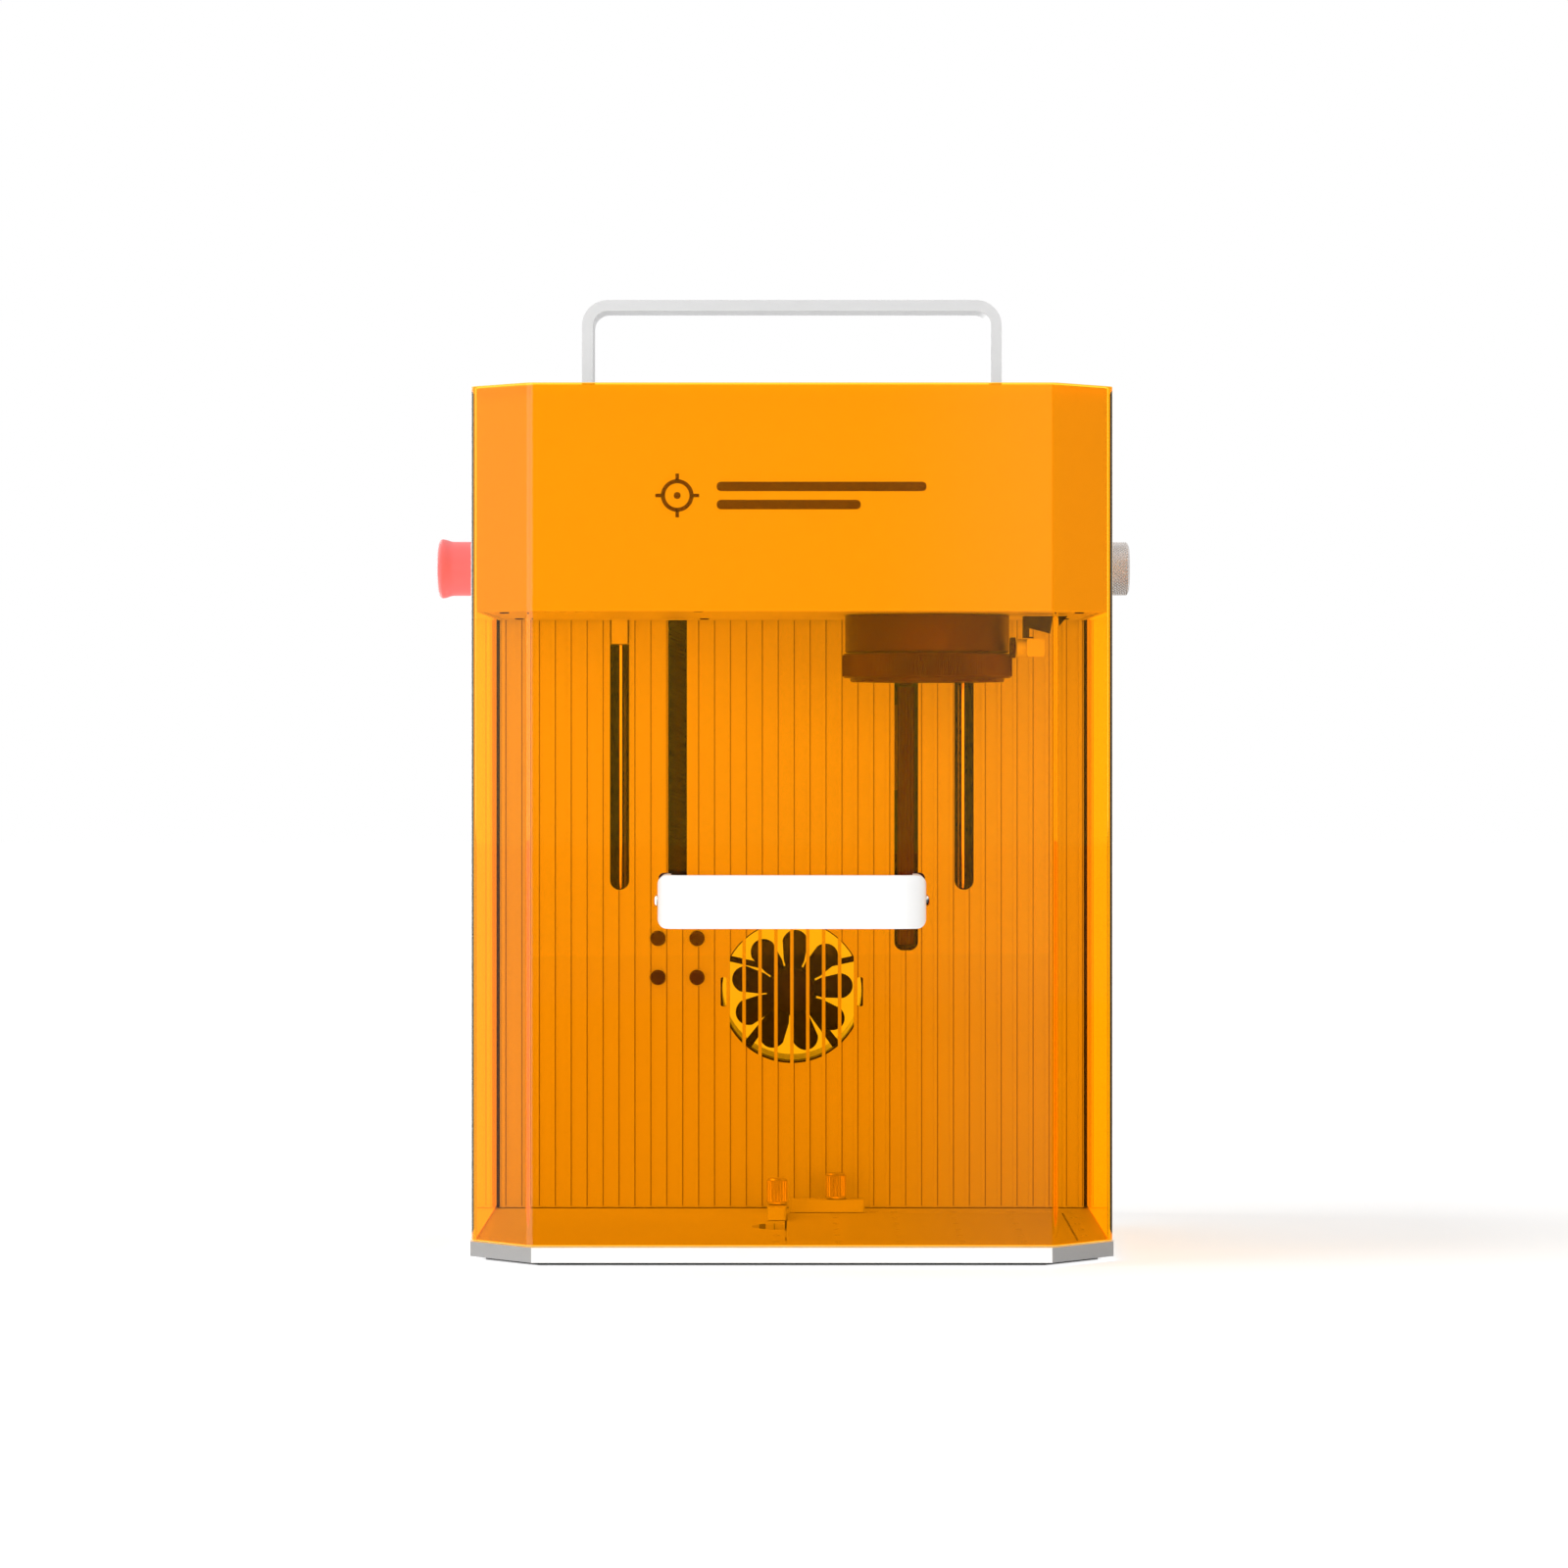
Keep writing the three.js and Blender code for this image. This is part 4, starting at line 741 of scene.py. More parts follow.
def joined(first, *others):
    """Several meshes as one object, keeping the first one's name."""
    work = bmesh.new()
    for part in (first, *others):
        work.from_mesh(part.data)
    work.to_mesh(first.data)
    work.free()
    for part in others:
        bpy.data.objects.remove(part)
    return first


# %% [markdown]
# ### Studs round a cylinder
#
# A flute and a knurl differ only in the stud: an upright four-sided bar makes flutes, a short four-sided
# cone lying outwards makes the diamonds of a knurl. A point's column and row come from its index.


# %% Tree: studs round a cylinder
def stud_tree():
    tree, entry = geometry_tree(
        "studs_round_a_cylinder", Columns=24, Rows=1, Radius=5.0, Row_Pitch=1.0, Bottom=0.0,
        Row_Shift=0.0, Tilt=0.0, Stud_Base=0.3, Stud_Tip=0.3, Stud_Length=2.0,
    )
    given = entry.outputs
    points = add(tree, "GeometryNodePoints")
    join(tree, mathematics(tree, "MULTIPLY", given["Columns"], given["Rows"]), points.inputs["Count"])
    index = add(tree, "GeometryNodeInputIndex").outputs[0]
    middle = mathematics(tree, "ADD", index, 0.5)
    row = mathematics(tree, "FLOOR", mathematics(tree, "DIVIDE", middle, given["Columns"]))
    odd = mathematics(tree, "MODULO", row, 2.0)
    column = mathematics(tree, "ADD", index, mathematics(tree, "MULTIPLY", odd, given["Row Shift"]))
    turn = mathematics(tree, "DIVIDE", mathematics(tree, "MULTIPLY", column, 2 * math.pi), given["Columns"])
    across = mathematics(tree, "MULTIPLY", mathematics(tree, "COSINE", turn), given["Radius"])
    along = mathematics(tree, "MULTIPLY", mathematics(tree, "SINE", turn), given["Radius"])
    height = mathematics(tree, "MULTIPLY_ADD", row, given["Row Pitch"], given["Bottom"])
    join(tree, xyz(tree, across, along, height), points.inputs["Position"])
    stud = add(tree, "GeometryNodeMeshCone", {"Vertices": 4})
    join(tree, given["Stud Base"], stud.inputs["Radius Bottom"])
    join(tree, given["Stud Tip"], stud.inputs["Radius Top"])
    join(tree, given["Stud Length"], stud.inputs["Depth"])
    facing = turned(tree, 0.0, given["Tilt"], turn)
    return end_tree(tree, entry, copies_on(tree, points.outputs[0], stud.outputs["Mesh"], facing))


STUDS = stud_tree()

# %% [markdown]
# ### Screw heads
#
# Every screw head is a low cylinder with a hexagon socket. The host mesh holds one vertex for each screw,
# so the same tree serves all patterns, and Boolean cutting happens once, before the copies are made.


# %% Tree: socket screw heads on points
def screw_tree():
    tree, entry = geometry_tree(
        "socket_screw_heads", Head_Radius=2.0, Head_Height=1.2, Socket_Radius=0.9, Turn_X=0.0
    )
    given = entry.outputs
    half = mathematics(tree, "MULTIPLY", given["Head Height"], 0.5)
    head = add(tree, "GeometryNodeMeshCone", {"Vertices": 32, "Side Segments": 1})
    join(tree, given["Head Radius"], head.inputs["Radius Bottom"])
    join(tree, mathematics(tree, "MULTIPLY", given["Head Radius"], 0.86), head.inputs["Radius Top"])
    join(tree, given["Head Height"], head.inputs["Depth"])
    socket = add(tree, "GeometryNodeMeshCylinder", {"Vertices": 6})
    join(tree, given["Socket Radius"], socket.inputs["Radius"])
    join(tree, given["Head Height"], socket.inputs["Depth"])
    socket_height = mathematics(tree, "ADD", half, mathematics(tree, "MULTIPLY", half, 0.9))
    cut = add(tree, "GeometryNodeMeshBoolean", operation="DIFFERENCE")
    join(tree, head.outputs["Mesh"], cut.inputs["Mesh 1"])
    join(tree, raised(tree, socket.outputs["Mesh"], socket_height), cut.inputs["Mesh 2"])
    facing = turned(tree, given["Turn X"])
    return end_tree(tree, entry, copies_on(tree, given["Geometry"], cut.outputs["Mesh"], facing))


SCREW_HEADS = screw_tree()
FACING = {"up": 0.0, "down": math.pi, "front": math.pi / 2, "back": -math.pi / 2}


def screw_heads(name, material, spots, facing, radius, height, socket):
    """Screw heads on those spots, which look the named way."""
    return grow(
        name, SCREW_HEADS, material, host=spots, Head_Radius=radius, Head_Height=height,
        Socket_Radius=socket, Turn_X=FACING[facing],
    )


# %% [markdown]
# ### Threads, perforations and polar copies
#
# A trapezoidal lift screw has several starts, so its thread is a few helices side by side. Perforations
# are a grid of round tools that a Boolean then cuts out of a plate. Blades and struts are one shape
# turned about the axis.


# %% Tree: a thread with several starts
def thread_tree():
    tree, entry = geometry_tree(
        "thread", Starts=4, Radius=4.0, Ridge=0.45, Lead=8.0, Bottom=0.0, Length=100.0
    )
    given = entry.outputs
    helix = add(tree, "GeometryNodeCurveSpiral", {"Resolution": 18})
    pitch_radius = mathematics(tree, "SUBTRACT", given["Radius"], given["Ridge"])
    join(tree, mathematics(tree, "DIVIDE", given["Length"], given["Lead"]), helix.inputs["Rotations"])
    join(tree, pitch_radius, helix.inputs["Start Radius"])
    join(tree, pitch_radius, helix.inputs["End Radius"])
    join(tree, given["Length"], helix.inputs["Height"])
    starts = add(tree, "GeometryNodePoints")
    join(tree, given["Starts"], starts.inputs["Count"])
    index = add(tree, "GeometryNodeInputIndex").outputs[0]
    turn = mathematics(tree, "DIVIDE", mathematics(tree, "MULTIPLY", index, 2 * math.pi), given["Starts"])
    real = add(tree, "GeometryNodeRealizeInstances")
    join(tree, copies_on(tree, starts.outputs[0], helix.outputs[0], turned(tree, z=turn)), real.inputs[0])
    section = add(tree, "GeometryNodeCurvePrimitiveCircle", {"Resolution": 6})
    join(tree, given["Ridge"], section.inputs["Radius"])
    ridge = add(tree, "GeometryNodeCurveToMesh", {"Fill Caps": True})
    join(tree, real.outputs[0], ridge.inputs["Curve"])
    join(tree, section.outputs[0], ridge.inputs["Profile Curve"])
    return end_tree(tree, entry, raised(tree, ridge.outputs[0], given["Bottom"]))


# %% Tree: a square field of round tools
def perforation_tree():
    tree, entry = geometry_tree("perforation_tools", Across=6, Pitch=20.0, Radius=1.25, Depth=4.0)
    given = entry.outputs
    size = mathematics(tree, "MULTIPLY", mathematics(tree, "SUBTRACT", given["Across"], 1.0), given["Pitch"])
    grid = add(tree, "GeometryNodeMeshGrid")
    for label in ("Size X", "Size Y"):
        join(tree, size, grid.inputs[label])
    for label in ("Vertices X", "Vertices Y"):
        join(tree, given["Across"], grid.inputs[label])
    tool = add(tree, "GeometryNodeMeshCylinder", {"Vertices": 20})
    join(tree, given["Radius"], tool.inputs["Radius"])
    join(tree, given["Depth"], tool.inputs["Depth"])
    return end_tree(tree, entry, copies_on(tree, grid.outputs["Mesh"], tool.outputs["Mesh"]))


# %% Tree: a row of boxes
def row_tree():
    tree, entry = geometry_tree("row_of_boxes", Count=5, Pitch=5.0, Size_X=1.0, Size_Y=1.0, Size_Z=1.0)
    given = entry.outputs
    points = add(tree, "GeometryNodePoints")
    join(tree, given["Count"], points.inputs["Count"])
    index = add(tree, "GeometryNodeInputIndex").outputs[0]
    middle = mathematics(tree, "MULTIPLY", mathematics(tree, "SUBTRACT", given["Count"], 1.0), 0.5)
    shift = mathematics(tree, "MULTIPLY", mathematics(tree, "SUBTRACT", index, middle), given["Pitch"])
    join(tree, xyz(tree, x=shift), points.inputs["Position"])
    bar = add(tree, "GeometryNodeMeshCube")
    join(tree, xyz(tree, given["Size X"], given["Size Y"], given["Size Z"]), bar.inputs["Size"])
    return end_tree(tree, entry, copies_on(tree, points.outputs[0], bar.outputs["Mesh"]))


# %% Tree: copies turned about an axis
def polar_tree():
    tree, entry = geometry_tree("polar_copies", Count=9, First_Turn=0.0)
    given = entry.outputs
    points = add(tree, "GeometryNodePoints")
    join(tree, given["Count"], points.inputs["Count"])
    share = mathematics(tree, "DIVIDE", add(tree, "GeometryNodeInputIndex").outputs[0], given["Count"])
    turn = mathematics(tree, "MULTIPLY_ADD", share, 2 * math.pi, given["First Turn"])
    return end_tree(tree, entry, copies_on(tree, points.outputs[0], given["Geometry"], turned(tree, z=turn)))


def polar_copies(piece, count, first=0.0):
    """Replaces a mesh about the Z axis by that many copies of itself."""
    material = piece.data.materials[0] if piece.data.materials else None
    return run_tree(piece, POLAR, {"Count": count, "First Turn": first, "Material": material})


THREAD, PERFORATION, ROW, POLAR = thread_tree(), perforation_tree(), row_tree(), polar_tree()
print("geometry trees:", [tree.name for tree in bpy.data.node_groups if tree.type == "GEOMETRY"])


# %% [markdown]
# ## Base
#
# The base is a thick plate with two corners cut off at 45 degrees, a field of fixing holes and a pocket
# for a lift-out bed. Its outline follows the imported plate's box, and the holes are cut by the
# perforation tree, so that their rims can be rounded like everything else.


# %% Outline with cut or rounded corners
def chamfered(half, front, back, chamfer, radius=0.6):
    """A plan rectangle with both front corners cut at 45 degrees; every corner is rounded."""
    corners = [
        (half, back), (-half, back), (-half, front + chamfer),
        (chamfer - half, front), (half - chamfer, front), (half, front + chamfer),
    ]
    return fillet(corners, radius)


def fillet(corners, radius, steps=6):
    """A closed outline with each corner replaced by an arc of that radius."""
    points = []
    for i, here in enumerate(corners):
        before, after = Vector(corners[i - 1]), Vector(corners[(i + 1) % len(corners)])
        here = Vector(here)
        a, b = (before - here).normalized(), (after - here).normalized()
        half = a.angle(b) / 2
        reach = radius / math.tan(half)
        centre = here + (a + b).normalized() * (radius / math.sin(half))
        start, end = here + a * reach - centre, here + b * reach - centre
        sweep = start.angle_signed(end)
        for k in range(steps + 1):
            turned = start.copy()
            turned.rotate(Matrix.Rotation(-sweep * k / steps, 2))
            points.append(tuple(centre + turned))
    return points


# %% Base plate, bed and pad
BASE_CHAMFER, FIELD_PITCH, HOLE_RADIUS = 21.0, 20.0, 1.25
base_low, base_high = millimetres("base_plate")
bed_low, bed_high = millimetres("bed_plate")
FIELD_X, FIELD_Y, _ = middle_of("bed_plate")
NOTCH_RADIUS, POCKET_GAP = 11.6, 0.6


def field_tools(name, depth):
    centre = (FIELD_X, FIELD_Y, base_high[2])
    return grow(name, PERFORATION, None, centre=centre, Pitch=FIELD_PITCH, Depth=depth, Radius=HOLE_RADIUS)


base_outline = chamfered(base_high[0], base_low[1], base_high[1], BASE_CHAMFER)
plate = prism("base_plate_painted", PLAN, base_outline, base_low[2], base_high[2])
pocket = rounded_rectangle(
    bed_low[0] - POCKET_GAP, bed_high[0] + POCKET_GAP,
    bed_low[1] - POCKET_GAP, bed_high[1] + POCKET_GAP, 1.2,
)
pocket_floor = bed_low[2] - 0.3
boolean(
    plate,
    [
        prism("pocket_tool", PLAN, pocket, pocket_floor, base_high[2] + 1),
        prism("notch_tool", PLAN, circle(bed_low[0], FIELD_Y, NOTCH_RADIUS), pocket_floor, base_high[2] + 1),
        field_tools("hole_tools", 7.4),
    ],
)
fit(soften(plate, 0.3), BASE_PAINT, "white_paint", "base_plate")
# The two cut corners take the grey finish: painted shade.
plate.data.materials.append(CHAMFER_SHADE_PAINT)
for face in plate.data.polygons:
    shaded_corner = face.normal.y < -0.6 and abs(face.normal.x) > 0.6
    face.material_index = 1 if shaded_corner else 0

bed_outline = rounded_rectangle(bed_low[0], bed_high[0], bed_low[1], bed_high[1], 1.0)
bed = prism("bed_plate_painted", PLAN, bed_outline, bed_low[2], bed_high[2])
boolean(bed, [field_tools("bed_hole_tools", 9.0)])
fit(soften(bed, 0.22), WHITE_PAINT, "white_paint", "bed_plate")
rounded_copy("base_pad", 0.25, RUBBER, "rubber")
print("base", [round(v, 1) for v in base_high])

# %% [markdown]
# ## Door
#
# The door is one acrylic sheet, heated and bent along four upright lines. Its section is a path with
# filleted corners, swept with a thin upright rectangle, which is what a bent sheet is. The sawn edges get
# the finish with a painted glow, picked out by where their faces lie.

# %% Bent sheet: outline with rounded bends
DOOR_CHAMFER, SHEET, BEND, BEND_STEPS, EDGE = 19.5, 2.0, 4.0, 8, 0.3
door_low, door_high = millimetres("door_shell")


def offset_line(half, front, back, chamfer, radius):
    """The open path of the door's section from the left back end to the right one."""
    path = [(-half, back), (-half, front + chamfer), (chamfer - half, front)]
    path += [(-u, v) for u, v in reversed(path)]
    points = [path[0]]
    for before, here, after in zip(path, path[1:], path[2:]):
        corner = fillet([before, here, after], radius, BEND_STEPS)
        points += corner[BEND_STEPS + 1 : 2 * BEND_STEPS + 2]
    return points + [path[-1]]


def sheet_line(inset):
    """One face of the sheet; a chamfer gets shorter by that share of the sheet as it moves in."""
    chamfer = DOOR_CHAMFER - inset * (2 - math.sqrt(2))
    return offset_line(door_high[0] - inset, door_low[1] + inset, door_high[1], chamfer, BEND - inset)


outer, inner = sheet_line(0.0), sheet_line(SHEET)
door = prism("door_sheet", PLAN, outer + inner[::-1], door_low[2], door_high[2])
soften(door, 0.22, segments=2, angle=60)
fit(door, ACRYLIC, "tinted_acrylic", "door_shell")
# The sawn edges take the finish with a painted glow.
door.data.materials.append(GLOWING_EDGE_PAINT)
for face in door.data.polygons:
    middle = face.center / MM
    low_end, high_end = middle.z < door_low[2] + EDGE, middle.z > door_high[2] - EDGE
    face.material_index = 1 if low_end or high_end or middle.y > door_high[1] - EDGE else 0
print("door sheet", len(door.data.polygons), "faces")

# %% [markdown]
# ## Pull handle
#
# A white moulded bar bent to a U, wide and flat in front. Its corners are rounded in two directions: in
# plan by the bend, and from the front by the mould, so the bar is the part that two prisms share.


# %% Bent bars
def bent_bar(half, depth, thickness, radius, steps=14):
    """A U in plan: its back lies on v = 0 and its legs reach to v = -depth."""
    inside = max(radius - thickness, 0.5)
    edge = half - thickness
    outer = [(half, -depth)] + arc(half - radius, -radius, radius, 0, 90, steps)
    outer += arc(radius - half, -radius, radius, 90, 180, steps) + [(-half, -depth)]
    inner = [(-edge, -depth)] + arc(inside - edge, -thickness - inside, inside, 180, 90, steps)
    return outer + inner + arc(edge - inside, -thickness - inside, inside, 90, 0, steps) + [(edge, -depth)]


# %% Handle, its posts and side screws
pull_low, pull_high = millimetres("door_handle")
PULL_THICKNESS, PULL_BEND, PULL_CORNER = 4.0, 8.0, 3.0
bar = bent_bar(pull_high[0], pull_high[1] - pull_low[1], PULL_THICKNESS, PULL_BEND)
pull = prism("pull_handle", PLAN, [(u, pull_low[1] - v) for u, v in bar], pull_low[2], pull_high[2])
front_view = rounded_rectangle(pull_low[0], pull_high[0], pull_low[2], pull_high[2], PULL_CORNER)
boolean(pull, [prism("pull_mould", FRONT, front_view, pull_low[1] - 1, pull_high[1] + 1)], "INTERSECT")
fit(soften(pull, 0.7, segments=4), WHITE_PLASTIC, "white_plastic", "door_handle")

for side, axis in (("left", "-x"), ("right", "+x")):
    rounded_copy("door_handle_post_" + side, 0.3, BLACK_PLASTIC, "black_plastic")
    low, high = millimetres("door_handle_screw_" + side)
    tip = max(abs(low[0]), abs(high[0]))
    seat = tip - 1.2
    head = (high[2] - low[2]) / 2
    profile = [(0, seat - 10), (1.15, seat - 10), (1.15, seat), (head, seat), (head, seat + 0.25)]
    profile += [(head * math.cos(a), seat + 0.25 + 0.95 * math.sin(a)) for a in (0.3, 0.65, 1.0, 1.3)]
    profile += [(0, tip)]
    centre = (0, *middle_of("door_handle_screw_" + side)[1:])
    screw = lathe("pull_screw_" + side, profile, centre, axis, steps=40)
    fit(smooth(screw, 40), STEEL, "steel", "door_handle_screw_" + side)
print("pull handle done")

# %% [markdown]
# ## Housing
#
# The rear housing is a sleeve of bent sheet steel, the ribbed wall closes its front, and a perforated
# cover its back. The wall's ribs stand at an even pitch and run on as the bars of the fan grille. Each rib
# has a narrow dark strip at its right foot, a thin row of its own: a painted shadow, so that the ribs read
# in flat light.
# Tools that lie inside one another confuse a Boolean, so sheet and ribs get seats of their own radius.

# %% Sleeve
SHELL, SHELL_BEND = 1.2, 3.0
shell_low, shell_high = millimetres("rear_housing")


def sleeve(half, bottom, top, bend, steps=14):
    """A front view with square lower corners and two bent upper ones."""
    path = [(-half, bottom)] + arc(bend - half, top - bend, bend, 180, 90, steps)
    return path + arc(half - bend, top - bend, bend, 90, 0, steps) + [(half, bottom)]


outside = sleeve(shell_high[0], shell_low[2], shell_high[2], SHELL_BEND)
inside = sleeve(shell_high[0] - SHELL, shell_low[2], shell_high[2] - SHELL, SHELL_BEND - SHELL)
housing = prism("housing_sleeve", FRONT, outside + inside[::-1], shell_low[1], shell_high[1])
tools = []
for side in (-1, 1):
    near, far = door_high[0] - SHEET - 0.3, shell_high[0] - SHELL
    left, right = sorted((side * near, side * far))
    notch = rectangle(left, right, shell_low[1] - 1, door_high[1] + 0.6)
    tools.append(prism("notch_tool", PLAN, notch, shell_high[2] - SHELL_BEND, shell_high[2] + 1))
stop_low, stop_high = millimetres("estop_body")
SIDE_Y, SIDE_Z = middle_of("estop_body")[1:]
for side, radius in ((-1, 8.1), (1, 4.8)):
    wall = side * shell_high[0]
    tools.append(prism("side_tool", SIDE, circle(SIDE_Y, SIDE_Z, radius), wall - 3, wall + 3))
boolean(housing, tools)
fit(soften(housing, 0.25), WHITE_PAINT, "white_paint", "rear_housing")


def prime_inside(piece, half, front, back, top):
    """Faces inside those limits, in millimetres, get a near-black colour: painted shade for the inside of the
    housing.
    """
    piece.data.materials.append(INSIDE_SHADE_PAINT)
    for face in piece.data.polygons:
        middle = face.center / MM
        if abs(middle.x) < half and front < middle.y < back and middle.z < top:
            face.material_index = 1


inner_half, inner_top = shell_high[0] - SHELL + 0.05, shell_high[2] - SHELL + 0.05
prime_inside(housing, inner_half, shell_low[1] + 2, shell_high[1] - 1, inner_top)

# %% Ribbed wall with slots, grille and screw seats
wall_low, wall_high = millimetres("ribbed_wall")
RIB, RIB_WIDTH, RIB_PITCH, WALL_SHEET = 0.8, 1.2, 5.5, 2.0
rib_plane = wall_low[1] + RIB
wall_back = rib_plane + WALL_SHEET
fan_low, fan_high = millimetres("fan_frame")
FAN_Z = middle_of("fan_frame")[2]
GRILLE_RADIUS, SLOT_TOP, SHADOW_STRIP = 24.6, 268.0, 0.4
SHANK_RADIUS, SEAT_RADIUS = 1.6, 2.95


def slot_outline(middle, width, low, high, radius=None):
    radius = radius or width / 2
    return rounded_rectangle(middle - width / 2, middle + width / 2, low, high + radius, radius, 12)


def disc_strip(left, right, radius, centre, steps=10):
    """The part of a round opening that lies between two bars."""
    columns = [left + (right - left) * i / steps for i in range(steps + 1)]
    top = [(x, centre + math.sqrt(max(radius**2 - x**2, 0))) for x in columns]
    bottom = [(x, 2 * centre - z) for x, z in reversed(top)]
    return top + bottom


def wall_tools(seat_radius):
    front, back = wall_low[1] - 1, wall_back + 1
    rod_x = millimetres("right_guide_rod")[1][0] - 3
    screw_x, cable_x = middle_of("lead_screw")[0], middle_of("head_cable")[0]
    shapes = [
        slot_outline(-rod_x, 6.6, 115.9, SLOT_TOP), slot_outline(rod_x, 6.6, 115.9, SLOT_TOP),
        slot_outline(screw_x, 6.5, 112.0, SLOT_TOP), slot_outline(cable_x, 8.2, 95.0, SLOT_TOP, 3.0),
    ]
    bars = [i * RIB_PITCH for i in range(-4, 5)]
    end = math.sqrt(GRILLE_RADIUS**2 - 0.25)
    edges = [-end, *bars, end]
    for i, (left, right) in enumerate(zip(edges, edges[1:])):
        left += RIB_WIDTH / 2 if i > 0 else 0
        right -= RIB_WIDTH / 2 if i < len(bars) else 0
        if 0 < i < len(bars):
            shapes.append(disc_strip(left, right, GRILLE_RADIUS, FAN_Z))
        else:
            shapes.append(rounded_rectangle(left, right, FAN_Z - 5, FAN_Z + 5, 0.6, 4))
    tools = [prism("wall_tool", FRONT, shape, front, back) for shape in shapes]
    for number in range(1, 5):
        x, _, z = middle_of("wall_screw_" + str(number))
        tools.append(prism("seat_tool", FRONT, circle(x, z, seat_radius, 40), front, back))
    return joined(*tools)


half_wall = wall_high[0]
wall_plan = rectangle(-half_wall, half_wall, rib_plane, wall_back)
sheet = prism("ribbed_wall_painted", PLAN, wall_plan, wall_low[2], wall_high[2])
rib_count = 2 * int(half_wall // RIB_PITCH) + 1
wall_middle, wall_height = middle_of("ribbed_wall")[2], wall_high[2] - wall_low[2]
ribs = grow(
    "ribs", ROW, None, centre=(0, rib_plane - RIB / 2 + 0.05, wall_middle), Count=rib_count,
    Pitch=RIB_PITCH, Size_X=RIB_WIDTH, Size_Y=RIB + 0.1, Size_Z=wall_height,
)
# Thin dark strips at the right foot of each rib: painted shadow.
rib_shadow_strips = grow(
    "painted_rib_shadows", ROW, RIB_SHADOW_PAINT, centre=((RIB_WIDTH + SHADOW_STRIP) / 2, rib_plane - 0.04, wall_middle),
    Count=rib_count, Pitch=RIB_PITCH, Size_X=SHADOW_STRIP, Size_Y=0.1, Size_Z=wall_height - 1,
)
for part, seat_radius in ((sheet, SHANK_RADIUS), (ribs, SEAT_RADIUS), (rib_shadow_strips, SEAT_RADIUS)):
    boolean(part, [wall_tools(seat_radius)])
fit(rib_shadow_strips, RIB_SHADOW_PAINT, "white_paint", body="frame")
ledge_plan = rectangle(33.4, 45.6, wall_back - 0.5, wall_high[1])
ledge = prism("cable_ledge", PLAN, ledge_plan, 86.0, 96.5)
wall = joined(sheet, ribs, ledge)
fit(soften(wall, 0.12, segments=2), WALL_PAINT, "white_paint", "ribbed_wall")
prime_inside(wall, wall_high[0] + 1, rib_plane + 0.4, wall_high[1] + 1, wall_high[2] + 1)
print(rib_count, "ribs,", len(wall.data.polygons), "faces on the ribbed wall")

# %% [markdown]
# ### Back cover
#
# The cover is flat sheet with a round fan opening, two socket openings and two fields of vent slots, all
# punched in one go. So it is one prism whose outline has holes, and needs no Boolean. Its screws are grown
# on six points, at the corners and halfway up the sides.

# %% Back cover and its screws
cover_low, cover_high = millimetres("rear_cover")
VENT_ROWS, VENT_PITCH, VENT_X, VENT_Z = 6, 7.5, 56.0, 225.0


def opening(node, rim, corner):
    """The hole that a socket goes through: its box without the flange, plus the clearance."""
    low, high = millimetres(node)
    left, right, bottom, top = low[0] + rim, high[0] - rim, low[2] + rim, high[2] - rim
    return rounded_rectangle(left - 0.3, right + 0.3, bottom - 0.3, top + 0.3, corner)


punched = [circle(0, FAN_Z, GRILLE_RADIUS, 72)]
punched += [opening("power_socket", 3.0, 1.0), opening("usb_socket", 0.0, 1.0)]
for row in range(VENT_ROWS):
    z = VENT_Z + (row - (VENT_ROWS - 1) / 2) * VENT_PITCH
    for x in (-VENT_X, VENT_X):
        punched.append(rounded_rectangle(x - 17, x + 17, z - 1.5, z + 1.5, 1.2))
cover_outline = sleeve(cover_high[0], cover_low[2], cover_high[2], 1.8)
cover = prism("back_cover", FRONT, cover_outline, cover_low[1], cover_high[1], punched)
fit(soften(cover, 0.12), WHITE_PAINT, "white_paint", "rear_cover")
prime_inside(cover, cover_high[0] + 1, cover_low[1] - 1, cover_low[1] + 0.3, cover_high[2] + 1)
corners = [(x, cover_high[1], z) for x in (-98, 98) for z in (14, 145, 274)]
cover_screws = screw_heads("cover_screws", BLACK_METAL, corners, "back", 2.6, 1.3, 1.2)
fit(smooth(cover_screws, 30), BLACK_METAL, "black_metal", body="frame")
print(len(punched), "punched openings")

# %% [markdown]
# ### Door guides and carrying handle
#
# The handle is a bar bent twice, with flat feet screwed to the roof. The same bent outline as the pull
# handle's serves, seen from the front this time, and a generous round on its edges gives the two soft
# shading lines that such a bar shows along its length.

# %% Door guides and carrying handle
for side in ("left", "right"):
    rounded_copy(side + "_guide_strip", 0.15, BLACK_PLASTIC, "black_plastic")

grip_low, grip_high = millimetres("top_handle")
GRIP_THICKNESS, GRIP_BEND, FOOT = 3.8, 9.0, 14.0
grip_outline = bent_bar(grip_high[0], grip_high[2] - grip_low[2], GRIP_THICKNESS, GRIP_BEND)
grip_outline = [(u, grip_high[2] + v) for u, v in grip_outline]
grip = prism("carrying_handle", FRONT, grip_outline, grip_low[1], grip_high[1])
feet = []
for side in (-1, 1):
    left, right = sorted((side * grip_high[0], side * (grip_high[0] - FOOT)))
    plan = rounded_rectangle(left, right, grip_low[1], grip_high[1], 1.5)
    feet.append(prism("foot", PLAN, plan, grip_low[2], grip_low[2] + 1.9))
boolean(grip, feet, "UNION")
fit(soften(grip, 0.85, segments=4, angle=50), HANDLE_PAINT, "white_paint", "top_handle")
seats = [(side * 64.5, y, grip_low[2] + 1.9) for side in (-1, 1) for y in (63, 73)]
foot_screws = screw_heads("handle_foot_screws", STEEL, seats, "up", 1.9, 1.1, 0.9)
fit(smooth(foot_screws, 30), STEEL, "steel", body="frame")
print("handle", round(grip_high[0] * 2, 1), "mm wide")

